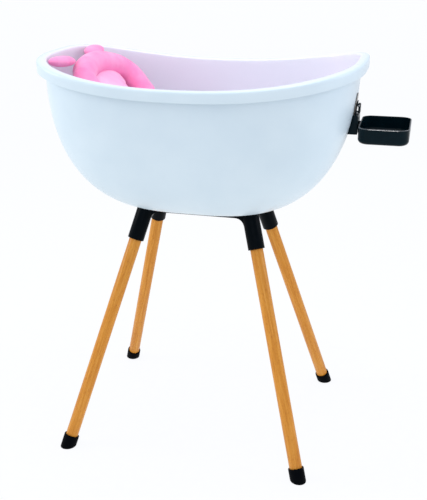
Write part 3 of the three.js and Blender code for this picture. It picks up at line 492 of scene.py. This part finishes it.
def ring_piece(rings, slices):
    """Extrudes a circle through rings of tub points and closes both ends."""
    bpy.ops.object.select_all(action="DESELECT")
    bpy.ops.mesh.primitive_circle_add(vertices=slices, radius=1.0)
    piece = bpy.context.object
    shape = edit(piece, "VERT")
    number = shape.verts.layers.int.new("slice")
    for vertex in shape.verts:
        turn = math.atan2(vertex.co.y, vertex.co.x) / (2 * math.pi)
        vertex[number] = round(turn * slices) % slices
    for index, (level, offset, lift) in enumerate(rings):
        if index == 0:
            bpy.ops.mesh.select_all(action="SELECT")
        else:
            bpy.ops.mesh.extrude_region_move()
        shape = bmesh.from_edit_mesh(piece.data)
        number = shape.verts.layers.int["slice"]
        for vertex in shape.verts:
            if vertex.select:
                angle = vertex[number] * 2 * math.pi / slices
                vertex.co = tub_point(angle, level, offset, lift)
    bpy.ops.mesh.edge_face_add()
    first = [v.co.copy() for v in shape.verts][:1][0].z
    select(piece, "EDGE", lambda e: e.is_boundary and abs(middle(e).z - first) < 1e-5)
    bpy.ops.mesh.edge_face_add()
    bpy.ops.mesh.select_all(action="SELECT")
    bpy.ops.mesh.normals_make_consistent(inside=False)
    done()
    return piece


tub = ring_piece(rings, TUB_SLICES)
print("tub wall:", len(tub.data.polygons), "faces")

# %% [markdown]
# The floor has a shallow sump that drops into the stand's ring, and a hole for the drain. Both
# are made as a person would cut them: a rounded block is joined on below, a smaller one and a
# cylinder are subtracted. A boolean modifier does the joining and the cutting.

# %% The sump and the drain hole
def rounded_block(low, high, corner, edge=0.0):
    """A box whose upright edges are rounded, and then its bottom edges."""
    bpy.ops.object.select_all(action="DESELECT")
    bpy.ops.mesh.primitive_cube_add(size=1.0)
    piece = bpy.context.object
    size = Vector(high) - Vector(low)
    place(piece, Matrix.Translation((Vector(high) + Vector(low)) / 2)
          @ Matrix.Diagonal((*size, 1.0)))
    edit(piece)
    upright = lambda e: abs(e.verts[0].co.z - e.verts[1].co.z) > size.z / 2
    select(piece, "EDGE", upright)
    bpy.ops.mesh.bevel(offset=corner, segments=10, affect="EDGES")
    if edge:
        at_bottom = lambda e: all(abs(v.co.z - low[2]) < 1e-6 for v in e.verts)
        select(piece, "EDGE", at_bottom)
        bpy.ops.mesh.bevel(offset=edge, segments=6, affect="EDGES")
    done()
    return piece


def combine(piece, tool, operation):
    apply_modifier(piece, "BOOLEAN", object=tool, operation=operation, solver="EXACT")
    bpy.data.objects.remove(tool)


nut_low, nut_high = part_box("drain_nut")
gasket_low, gasket_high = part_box("drain_gasket")
sump_bottom = tub_low.z
drain_x = (nut_low.x + nut_high.x) / 2
SUMP_HALF = (0.1175, 0.055)
sump = [(TUB_X - SUMP_HALF[0], -SUMP_HALF[1]), (TUB_X + SUMP_HALF[0], SUMP_HALF[1])]
combine(tub, rounded_block((*sump[0], sump_bottom), (*sump[1], 0.5965), 0.02), "UNION")
inside = WALL * MM
pocket_low = (sump[0][0] + inside, sump[0][1] + inside, sump_bottom + inside)
pocket_high = (sump[1][0] - inside, sump[1][1] - inside, 0.602)
combine(tub, rounded_block(pocket_low, pocket_high, 0.0165, 0.003), "DIFFERENCE")
bpy.ops.object.select_all(action="DESELECT")
DRAIN_HOLE = 16.85 * MM
bpy.ops.mesh.primitive_cylinder_add(
    vertices=48, radius=DRAIN_HOLE, depth=0.03, location=(drain_x, 0, sump_bottom))
drain_drill = bpy.context.object
place(drain_drill, drain_drill.matrix_world)
drain_drill.matrix_world = Matrix.Identity(4)
combine(tub, drain_drill, "DIFFERENCE")
smooth(tub, 32)
# Painted light: faces that look inwards, and the floor where it faces up, get a share of the
# paler, pinker painted fill light.
inner_fill_light = tub.data.attributes.new("inside", "FLOAT", "POINT")
for vertex, value in zip(tub.data.vertices, inner_fill_light.data):
    outwards = Vector((vertex.co.x - TUB_X, vertex.co.y, 0)).normalized()
    floor_fill_light_share = 0.9 * vertex.normal.z if vertex.co.z < 0.8 else 0
    value.value = min(1, max(0, 0.5 - 1.5 * vertex.normal.dot(outwards) + floor_fill_light_share))
finish_piece(tub, "tub_shell", "tub", ["tub_basin"], polypropylene)

# %% [markdown]
# ## The legs
# Each leg is a turned beech rod with a stepped hole in its top for the brass insert and the
# bolt. It is modelled upright as a cylinder: its ends are chamfered, its top face is inset and
# pushed in twice. Only then is it laid along its real axis, and the upright coordinates are
# kept on the vertices for the wood's grain.

# %% A leg, upright
CORNERS = ["front_left", "front_right", "rear_left", "rear_right"]
LEG_RADIUS = 15.25 * MM
INSERT_HOLE, BOLT_HOLE = 6.6 * MM, 4.35 * MM


def push_top_in(piece, radius, hole, depth):
    """Insets the top face to a hole's radius and pushes it down."""
    top = max(vertex.co.z for vertex in bmesh.from_edit_mesh(piece.data).verts)
    select(piece, "FACE", lambda f: f.normal.z > 0.9 and len(f.verts) > 8
           and f.calc_center_median().xy.length < radius / 4)
    bpy.ops.mesh.inset(thickness=radius - hole)
    bpy.ops.mesh.extrude_region_move(TRANSFORM_OT_translate={"value": (0, 0, -depth)})
    return top


def make_leg(corner, seed):
    matrix, low, high = axis_frame("leg_" + corner)
    bpy.ops.object.select_all(action="DESELECT")
    bpy.ops.mesh.primitive_cylinder_add(vertices=48, radius=LEG_RADIUS, depth=high - low)
    piece = bpy.context.object
    place(piece, Matrix.Translation((0, 0, (high + low) / 2)))
    edit(piece)
    select(piece, "EDGE", lambda e: abs(e.verts[0].co.z - e.verts[1].co.z) < 1e-6)
    bpy.ops.mesh.bevel(offset=0.8 * MM, segments=2, affect="EDGES")
    push_top_in(piece, LEG_RADIUS - 0.8 * MM, INSERT_HOLE, 22.3 * MM)
    push_top_in(piece, INSERT_HOLE, BOLT_HOLE, 24 * MM)
    done()
    grain = piece.data.attributes.new("wood_place", "FLOAT_VECTOR", "POINT")
    for vertex, value in zip(piece.data.vertices, grain.data):
        value.vector = vertex.co + Vector((0.31 * seed, 0.17 * seed, 0.9 * seed))
    place(piece, matrix)
    smooth(piece, 30)
    return finish_piece(piece, "turned_leg_" + corner, "stand", ["leg_" + corner],
                        beech)


legs = {corner: make_leg(corner, i) for i, corner in enumerate(CORNERS)}

# %% [markdown]
# ## The foot caps
# A foot cap is a rubber cup that the leg's end is pushed into, cut level where it meets the
# floor. It starts as a cylinder along the leg, its top is pushed in to make the cup, and a
# bisect at floor height gives it its flat sole. Its lower edge is well rounded.

# %% Foot caps
CAP_RADIUS, CAP_BORE = 18.6 * MM, 15.6 * MM


def make_foot(corner):
    matrix, low, high = axis_frame("leg_" + corner)
    cap_low, cap_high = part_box("foot_cap_" + corner)
    foot = matrix @ Vector((0, 0, low))
    lean = matrix.to_3x3() @ Vector((0, 0, 1))
    top = low + (31 * MM - foot.z / lean.z)
    below = low - foot.z / lean.z - 12 * MM
    bpy.ops.object.select_all(action="DESELECT")
    bpy.ops.mesh.primitive_cylinder_add(vertices=48, radius=CAP_RADIUS, depth=top - below)
    piece = bpy.context.object
    place(piece, Matrix.Translation((0, 0, (top + below) / 2)))
    edit(piece)
    select(piece, "EDGE", lambda e: all(abs(v.co.z - top) < 1e-6 for v in e.verts))
    bpy.ops.mesh.bevel(offset=1.1 * MM, segments=3, affect="EDGES")
    push_top_in(piece, CAP_RADIUS - 1.1 * MM, CAP_BORE, top - low + 0.3 * MM)
    done()
    place(piece, matrix)
    edit(piece)
    bpy.ops.mesh.select_all(action="SELECT")
    bpy.ops.mesh.bisect(plane_co=(0, 0, 0), plane_no=(0, 0, 1), use_fill=True, clear_inner=True)
    select(piece, "EDGE", lambda e: all(abs(v.co.z) < 1e-6 for v in e.verts))
    bpy.ops.mesh.bevel(offset=2.2 * MM, segments=5, affect="EDGES")
    done()
    smooth(piece, 40)
    return finish_piece(piece, "foot_" + corner, "stand", ["foot_cap_" + corner],
                        foot_rubber)


feet = {corner: make_foot(corner) for corner in CORNERS}

# %% [markdown]
# ## Hard parts that only need their edges softened
# The frame, the holder, the lever and the drain's parts already have their real shape. A copy
# of each is welded into one skin, its flat areas are merged, its sharp edges get the small
# radius that every moulding has, and it takes the place of the plain part.

# %% A softened copy of a part
def softened(node, name, body, material, radius_mm, sharp=40):
    piece = bpy.data.objects.new(name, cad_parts[node].data.copy())
    bpy.context.scene.collection.objects.link(piece)
    edit(piece)
    bpy.ops.mesh.select_all(action="SELECT")
    bpy.ops.mesh.remove_doubles(threshold=0.01 * MM)
    bpy.ops.mesh.dissolve_limited(angle_limit=math.radians(0.5))
    done()
    if radius_mm:
        apply_modifier(piece, "BEVEL", width=radius_mm * MM, segments=2,
                       limit_method="ANGLE", angle_limit=math.radians(sharp))
    smooth(piece, 30)
    return finish_piece(piece, name, body, [node], material)


stand = softened("stand_frame", "moulded_stand", "stand", nylon, 0.5)
holder = softened("tray_holder", "wedge_holder", "tub", abs_black, 0.4)
lever = softened("lock_lever", "cam_lever", "lever", abs_black, 0.3)
stud = softened("pull_stud", "cup_stud", "tub", abs_black, 0.2)
pin = softened("lever_pin", "steel_pin", "tub", zinc, 0.2)
flange = softened("drain_flange", "drain_collar", "tub", drain_white, 0.3)
nut = softened("drain_nut", "drain_ring_nut", "tub", drain_white, 0.5)
gasket = softened("drain_gasket", "drain_washer", "tub", gasket_rubber, 0.4)
plug = softened("drain_plug", "drain_stopper", "plug", plug_rubber, 0.5)
for corner in CORNERS:
    softened("leg_bolt_" + corner, "bolt_" + corner, "stand", zinc, 0.3)
    softened("leg_insert_" + corner, "insert_" + corner, "stand", brass, 0.3)

# %% [markdown]
# ## The soap tray
# The tray is a thin-walled dish with round corners, a rounded bottom edge and a small lip round
# its rim. It starts as a cube of its outside size. The upright edges and then the bottom edges
# are bevelled, the top face is inset by the wall and pushed down to hollow it, and a band cut
# just below the rim is pushed out to make the lip.

# %% The dish
tray_low, tray_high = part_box("soap_tray")
LIP, LIP_HEIGHT, TRAY_WALL = 0.8 * MM, 3 * MM, 2.5 * MM
dish_low = Vector((tray_high.x - LIP - 111.4 * MM, -77 * MM, tray_low.z))
dish_high = Vector((tray_high.x - LIP, 77 * MM, tray_high.z))
dish = rounded_block(dish_low, dish_high, 24 * MM, 10 * MM)
edit(dish)
select(dish, "FACE", lambda f: f.normal.z > 0.99 and f.calc_center_median().z > dish_high.z - MM)
bpy.ops.mesh.inset(thickness=TRAY_WALL)
dish_depth = dish_high.z - dish_low.z - TRAY_WALL
bpy.ops.mesh.extrude_region_move(TRANSFORM_OT_translate={"value": (0, 0, -dish_depth)})
floor_z = dish_low.z + TRAY_WALL
select(dish, "EDGE", lambda e: all(abs(v.co.z - floor_z) < 1e-6 for v in e.verts)
       and any(abs(f.normal.z) < 0.5 for f in e.link_faces))
bpy.ops.mesh.bevel(offset=7.5 * MM, segments=6, affect="EDGES")
bpy.ops.mesh.select_all(action="SELECT")
lip_z = dish_high.z - LIP_HEIGHT
bpy.ops.mesh.bisect(plane_co=(0, 0, lip_z), plane_no=(0, 0, 1))
dish_middle = (dish_low + dish_high) / 2


def faces_out(face):
    """True for the outer band of wall above the lip's lower edge."""
    spot = face.calc_center_median()
    outward = (spot - dish_middle).xy.dot(face.normal.xy) > 0
    return spot.z > lip_z and abs(face.normal.z) < 0.1 and outward


print("lip faces:", select(dish, "FACE", faces_out))
bpy.ops.mesh.extrude_region_shrink_fatten(TRANSFORM_OT_shrink_fatten={"value": LIP})
rim_edges = select(dish, "EDGE", lambda e: all(v.co.z > dish_high.z - 1e-5 for v in e.verts)
                   and any(faces_out(f) for f in e.link_faces))
bpy.ops.mesh.bevel(offset=1.3 * MM, segments=1, affect="EDGES")
done()
print("buffed rim edges:", rim_edges)
apply_modifier(dish, "BEVEL", width=0.35 * MM, segments=2, limit_method="ANGLE",
               angle_limit=math.radians(60))

# %% [markdown]
# Two hooks on the tray's back slide down into slots in the holder. Each is a small T: a neck
# and a wider head. They are joined to the dish, because the real tray is one moulding.

# %% The hooks
holder_low, holder_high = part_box("tray_holder")
FACE_X = holder_high.x
HOOK_Z = (tray_high.z - 14 * MM, tray_high.z - 2 * MM)
hooks = []
for side in (-1, 1):
    y = side * 20 * MM
    neck_back = FACE_X - 4 * MM
    head_back = tray_low.x
    hooks.append(rounded_block((head_back, y - 4.6 * MM, HOOK_Z[0]),
                               (neck_back, y + 4.6 * MM, HOOK_Z[1]), 0.5 * MM))
    hooks.append(rounded_block((neck_back - MM, y - 2.1 * MM, HOOK_Z[0]),
                               (dish_low.x + 1.2 * MM, y + 2.1 * MM, HOOK_Z[1]), 0.3 * MM))
for hook in hooks:
    combine(dish, hook, "UNION")
smooth(dish, 35)
finish_piece(dish, "soap_dish", "tray", ["soap_tray"], abs_black)


def buff_and_highlight_edges(piece, low, wanted):
    """Gives the slanted edge faces above a height the buffed edge material: glossy, and lighter
    in colour as a painted highlight.
    """
    piece.data.materials.append(abs_edge_highlight)
    for face in piece.data.polygons:
        if face.center.z > low and 0.35 < face.normal.z < 0.93 and wanted(face):
            face.material_index = 1


# The slanted band on the lip's outer edge gets the painted highlight.
buff_and_highlight_edges(dish, tray_high.z - 2 * MM,
           lambda f: (Vector(f.center) - dish_middle).xy.dot(Vector(f.normal).xy) > 0)

# %% [markdown]
# ## The suction cup
# The cup is a thin silicone disc, thicker in the middle, with a hole for the stud. It is made
# like pottery on a wheel: a circle is extruded and resized ring by ring, first across the
# back and then across the front. Its axis is the stud's axis.

# %% The cup, turned ring by ring
def cup_axis():
    """A matrix whose Z points out of the wall along the stud."""
    cup_low, cup_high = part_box("suction_cup")
    points = np.unique(np.array(
        [v.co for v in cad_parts["suction_cup"].data.vertices]).round(6), axis=0)
    centre = points.mean(0)
    flat = np.linalg.svd(points - centre, full_matrices=False)[2][2]
    direction = Vector(flat if flat[0] > 0 else -flat)
    turn = Vector((0, 0, 1)).rotation_difference(direction).to_matrix().to_4x4()
    return Matrix.Translation(Vector(centre)) @ turn, points


cup_matrix, cup_points = cup_axis()
local = np.array([cup_matrix.inverted() @ Vector(p) for p in cup_points])
cup_radius = float(np.hypot(local[:, 0], local[:, 1]).max())
cup_back = float(local[:, 2].min())
CUP_RINGS = [(3.35, 0.9), (7.0, 0.9), (13.5, 0.75), (20.0, 0.5), (25.0, 0.2), (27.1, 0.0),
             (27.5, 0.3), (27.2, 0.75), (25.0, 1.3), (20.0, 1.75), (13.5, 2.0), (7.0, 2.1),
             (3.35, 2.1)]
bpy.ops.object.select_all(action="DESELECT")
bpy.ops.mesh.primitive_circle_add(vertices=72, radius=CUP_RINGS[0][0] * MM)
cup = bpy.context.object
edit(cup, "VERT")
bpy.ops.mesh.select_all(action="SELECT")
bpy.ops.transform.translate(value=(0, 0, CUP_RINGS[0][1] * MM))
for (radius, height), (next_radius, next_height) in zip(CUP_RINGS, CUP_RINGS[1:]):
    step = (next_height - height) * MM
    bpy.ops.mesh.extrude_region_move(TRANSFORM_OT_translate={"value": (0, 0, step)})
    grow = next_radius / radius
    bpy.ops.transform.resize(value=(grow, grow, 1), center_override=(0, 0, 0))
bpy.ops.mesh.select_all(action="DESELECT")
select(cup, "EDGE", lambda e: e.is_boundary)
bpy.ops.mesh.bridge_edge_loops()
bpy.ops.mesh.select_all(action="SELECT")
bpy.ops.mesh.normals_make_consistent(inside=False)
done()
place(cup, cup_matrix @ Matrix.Translation((0, 0, cup_back)))
smooth(cup, 60)
print("cup radius in the frame:", round(cup_radius, 4))
finish_piece(cup, "silicone_cup", "tub", ["suction_cup"], silicone)

# %% [markdown]
# ## The cushion
# The cushion is sewn fabric over foam: a fat horseshoe for the head, a long pad for the back
# and two ears that rest on the tub's rim. Foam under cloth swells evenly but is held by its
# seams, so a cloth simulation with a little pressure gives its shape. A voxel remesh first
# gives it an even skin. No point may move further than the foam would let it.

# %% Inflating a padded piece
def inflate(node, name, voxel_mm, shrink_mm, cap_mm, pressure=4.0):
    """A copy of a soft part, remeshed, taken in a little and swollen by cloth pressure."""
    piece = bpy.data.objects.new(name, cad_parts[node].data.copy())
    bpy.context.scene.collection.objects.link(piece)
    edit(piece)
    bpy.ops.mesh.select_all(action="SELECT")
    bpy.ops.mesh.remove_doubles(threshold=0.01 * MM)
    done()
    piece.data.remesh_voxel_size = voxel_mm * MM
    bpy.ops.object.voxel_remesh()
    count = len(piece.data.vertices)
    started = time.time()
    start = np.array([v.co - v.normal * shrink_mm * MM for v in piece.data.vertices])
    piece.data.vertices.foreach_set("co", start.astype(np.float32).ravel())
    piece.data.update()
    cloth = piece.modifiers.new("Cloth", "CLOTH")
    cloth.settings.use_pressure = True
    cloth.settings.uniform_pressure_force = pressure
    cloth.settings.effector_weights.gravity = 0.0
    cloth.point_cache.frame_end = 20
    for number in range(1, 21):
        bpy.context.scene.frame_set(number)
    moved = piece.evaluated_get(bpy.context.evaluated_depsgraph_get())
    swollen = np.array([v.co for v in moved.data.vertices])
    piece.modifiers.remove(cloth)
    bpy.context.scene.frame_set(1)
    step = swollen - start
    length = np.linalg.norm(step, axis=1, keepdims=True)
    capped = start + step * np.minimum(1.0, cap_mm * MM / np.maximum(length, 1e-9))
    piece.data.vertices.foreach_set("co", capped.astype(np.float32).ravel())
    piece.data.update()
    print(f"{name}: {time.time() - started:.1f} s, {count} points, swelled {length.max() / MM:.1f} mm, capped at {cap_mm}")
    return piece


head_ring = inflate("cushion_head_ring", "head_ring", 5, 0.3, 6)
back_pad = inflate("cushion_body_pad", "back_pad", 6, 3, 7)
ear_front = inflate("cushion_ear_front", "ear_front", 3.5, 0.2, 3)
ear_rear = inflate("cushion_ear_rear", "ear_rear", 3.5, 0.2, 3)

# %% [markdown]
# The pad is sewn to the back of the horseshoe, so its upper end runs on behind the tube, and
# each ear is plump enough to press against it. Both are drawn out by moving vertices, with a
# share that grows towards the end that moves.

# %% Draw out the pad's end and plump the ears
def points_of(piece):
    return np.array([vertex.co for vertex in piece.data.vertices])


def set_points(piece, points):
    piece.data.vertices.foreach_set("co", points.astype(np.float32).ravel())
    piece.data.update()


def stretch_upper_end(piece, reach_mm):
    """Draws the upper end of a long piece out along its length."""
    points = points_of(piece)
    centre = points.mean(0)
    along = np.linalg.svd(points - centre, full_matrices=False)[2][0]
    along = along if along[2] > 0 else -along
    share = (points - centre) @ along
    share = np.clip(share / share.max(), 0, 1) ** 2
    set_points(piece, points + np.outer(share, along) * reach_mm * MM)


def plump(piece, growth, shift_mm):
    """Grows a piece about its middle and moves it a little."""
    points = points_of(piece)
    centre = points.mean(0)
    set_points(piece, centre + (points - centre) * growth + np.array(shift_mm) * MM)


stretch_upper_end(back_pad, 34)
for ear in (ear_front, ear_rear):
    plump(ear, (1.16, 1.05, 1.2), (4, 0, 0))

# %% [markdown]
# Where the horseshoe's cover is drawn together and sewn shut, the cloth is gathered into
# pleats that run out like rays from one point. They are pushed into the skin after the last
# subdivision, when there are vertices enough: deepest near the point and gone a few
# centimetres away. Soft, shallow dents all over keep the foam from looking cast.

# %% Gathered pleats and soft dents
# Blender works out a mesh's normals again after any point moves, so they are
# all read before the first move. Reading them in the moving loop takes minutes.
def normals_of(piece):
    """Every vertex normal of a piece, as rows."""
    return np.array([vertex.normal for vertex in piece.data.vertices])


def gather(piece, centre, radius_mm, pleats, depth_mm):
    """Pushes ray-like pleats into a piece around a point on its skin."""
    across = np.array(Vector((0.55, -0.83, 0)).normalized())
    points, normals = points_of(piece), normals_of(piece)
    offset = points - np.array(centre)
    fade = np.clip(1 - np.linalg.norm(offset, axis=1) / (radius_mm * MM), 0, 1)
    ridge = np.abs(np.sin(np.arctan2(offset[:, 2], offset @ across) * pleats / 2))
    sink = depth_mm * (1 - ridge) * fade + 2.2 * depth_mm * fade ** 4
    set_points(piece, points - normals * sink[:, None] * MM)


def dent(piece, size_mm, depth_mm):
    """Pushes a smooth noise into a piece's skin."""
    points, normals = points_of(piece), normals_of(piece)
    values = np.array([noise.noise(Vector(point) / (size_mm * MM)) for point in points])
    set_points(piece, points + normals * values[:, None] * depth_mm * MM)


ring_low, ring_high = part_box("cushion_head_ring")
ring_size = ring_high - ring_low
GATHER_AT = (0.13, 0.17, 0.76)
gather_point = ring_low + Vector([share * side for share, side in zip(GATHER_AT, ring_size)])

# %% Finish the cushion
for piece, nodes, slot, material, fill in (
        (head_ring, ["cushion_head_ring"], "cushion_pink", knit_pink, 0.8),
        (back_pad, ["cushion_body_pad"], "cushion_pale", knit_pale, 0.5),
        (ear_front, ["cushion_ear_front"], "cushion_pink", knit_pink, 0.6),
        (ear_rear, ["cushion_ear_rear"], "cushion_pink", knit_pink, 0.6)):
    apply_modifier(piece, "SUBSURF", levels=1, render_levels=1)
    dent(piece, 38, 1.1)
    if piece == head_ring:
        gather(piece, gather_point, 42, 17, 2.4)
    pick(piece)
    bpy.ops.object.shade_smooth()
    finish_piece(piece, piece.name, "cushion", nodes, material)

# %% [markdown]
# ## The room
# A pale floor and a bright, even room, with one large soft light to the left, are what a
# catalogue studio uses. The world is brighter to the camera than to the object, so that the
# backdrop is clean while the object keeps its shading.

# %% Floor, lights and world
bpy.context.scene.view_settings.view_transform = "Standard"
bpy.ops.object.select_all(action="DESELECT")
bpy.ops.mesh.primitive_plane_add(size=30, location=(0, 0, 0))
floor = bpy.context.object
floor.name = "studio_floor"
floor_paper, paper_tree, paper_shader = new_material(
    "matt white paper", Roughness=0.9, Specular_IOR_Level=0.1,
    Emission_Color=colour("FCFDFF"), Emission_Strength=0.95)
paper_where = add_node(paper_tree, "ShaderNodeTexCoord")
paper_grain = add_node(paper_tree, "ShaderNodeTexNoise", {
    "Vector": paper_where.outputs["Object"], "Scale": 40.0})
paper_tint = ramp(paper_tree, paper_grain.outputs["Fac"], [
    (0.3, colour("404143")), (0.7, colour("444547"))])
paper_tree.links.new(paper_tint.outputs["Color"], paper_shader.inputs["Base Color"])
floor.data.materials.append(floor_paper)

world = bpy.data.worlds.new("bright studio")
bpy.context.scene.world = world
world.use_nodes = True
sky = world.node_tree
sky.nodes.clear()
room = add_node(sky, "ShaderNodeBackground", {"Color": colour("F2F6FF"), "Strength": 0.72})
backdrop = add_node(sky, "ShaderNodeBackground", {"Color": colour("FCFDFF"), "Strength": 1.0})
seen = add_node(sky, "ShaderNodeLightPath")
either = add_node(sky, "ShaderNodeMixShader", {"Fac": seen.outputs["Is Camera Ray"]})
sky.links.new(room.outputs["Background"], either.inputs[1])
sky.links.new(backdrop.outputs["Background"], either.inputs[2])
add_node(sky, "ShaderNodeOutputWorld", {"Surface": either.outputs["Shader"]})


def soft_light(name, spot, target, size, watts, tint):
    light = bpy.data.lights.new(name, "AREA")
    light.size = size
    light.energy = watts
    light.color = colour(tint)[:3]
    lamp = bpy.data.objects.new(name, light)
    bpy.context.scene.collection.objects.link(lamp)
    aim = Vector(target) - Vector(spot)
    lamp.matrix_world = (Matrix.Translation(spot)
                         @ aim.to_track_quat("-Z", "Y").to_matrix().to_4x4())
    return lamp


soft_light("key from the left", (-2.6, -0.7, 1.7), (0, 0, 0.75), 1.2, 25, "FFFFFF")
soft_light("rim light from the right", (2.5, 0.2, 1.6), (0, 0, 0.8), 1.2, 13, "F2F4FF")
soft_light("wide box overhead", (-0.1, 0.3, 2.6), (-0.1, 0, 0.8), 1.4, 13, "FFFFFF")
soft_light("fill from the front", (0.6, -2.6, 1.6), (0, 0, 0.8), 1.6, 6, "F4F8FF")
soft_light("small box overhead", (0.284, -0.49, 2.75), (0.35, -0.08, 0.8), 0.4, 7, "FFFFFF")

# %% [markdown]
# ## The camera
# The camera stands a little to the right of the tub's middle, about two metres in front of it
# and above the rim, and looks back to the left and down by twenty degrees. Its sensor is
# shifted by a few hundredths, as a view camera's is, so that the picture is framed without
# tilting the lens further.

# %% Camera
EYE = Vector((TUB_X + 0.5073, -1.9381, 1.2119))
HEADING, PITCH, ROLL = math.radians(-15.09), math.radians(20.28), math.radians(-0.28)
ahead = Vector((math.sin(HEADING) * math.cos(PITCH), math.cos(HEADING) * math.cos(PITCH),
                -math.sin(PITCH)))
level_right = ahead.cross(Vector((0, 0, 1))).normalized()
level_up = level_right.cross(ahead)
right = math.cos(ROLL) * level_right + math.sin(ROLL) * level_up
up = -math.sin(ROLL) * level_right + math.cos(ROLL) * level_up
camera_data = bpy.data.cameras.new("view")
camera_data.sensor_width = 36
camera_data.lens = 61.3
camera_data.shift_x = 0.0296
camera_data.shift_y = -0.0067
camera = bpy.data.objects.new("view", camera_data)
bpy.context.scene.collection.objects.link(camera)
turn = Matrix((right, up, -ahead)).transposed().to_4x4()
camera.matrix_world = Matrix.Translation(EYE) @ turn
bpy.context.scene.camera = camera
print("camera at", [round(v, 3) for v in EYE])
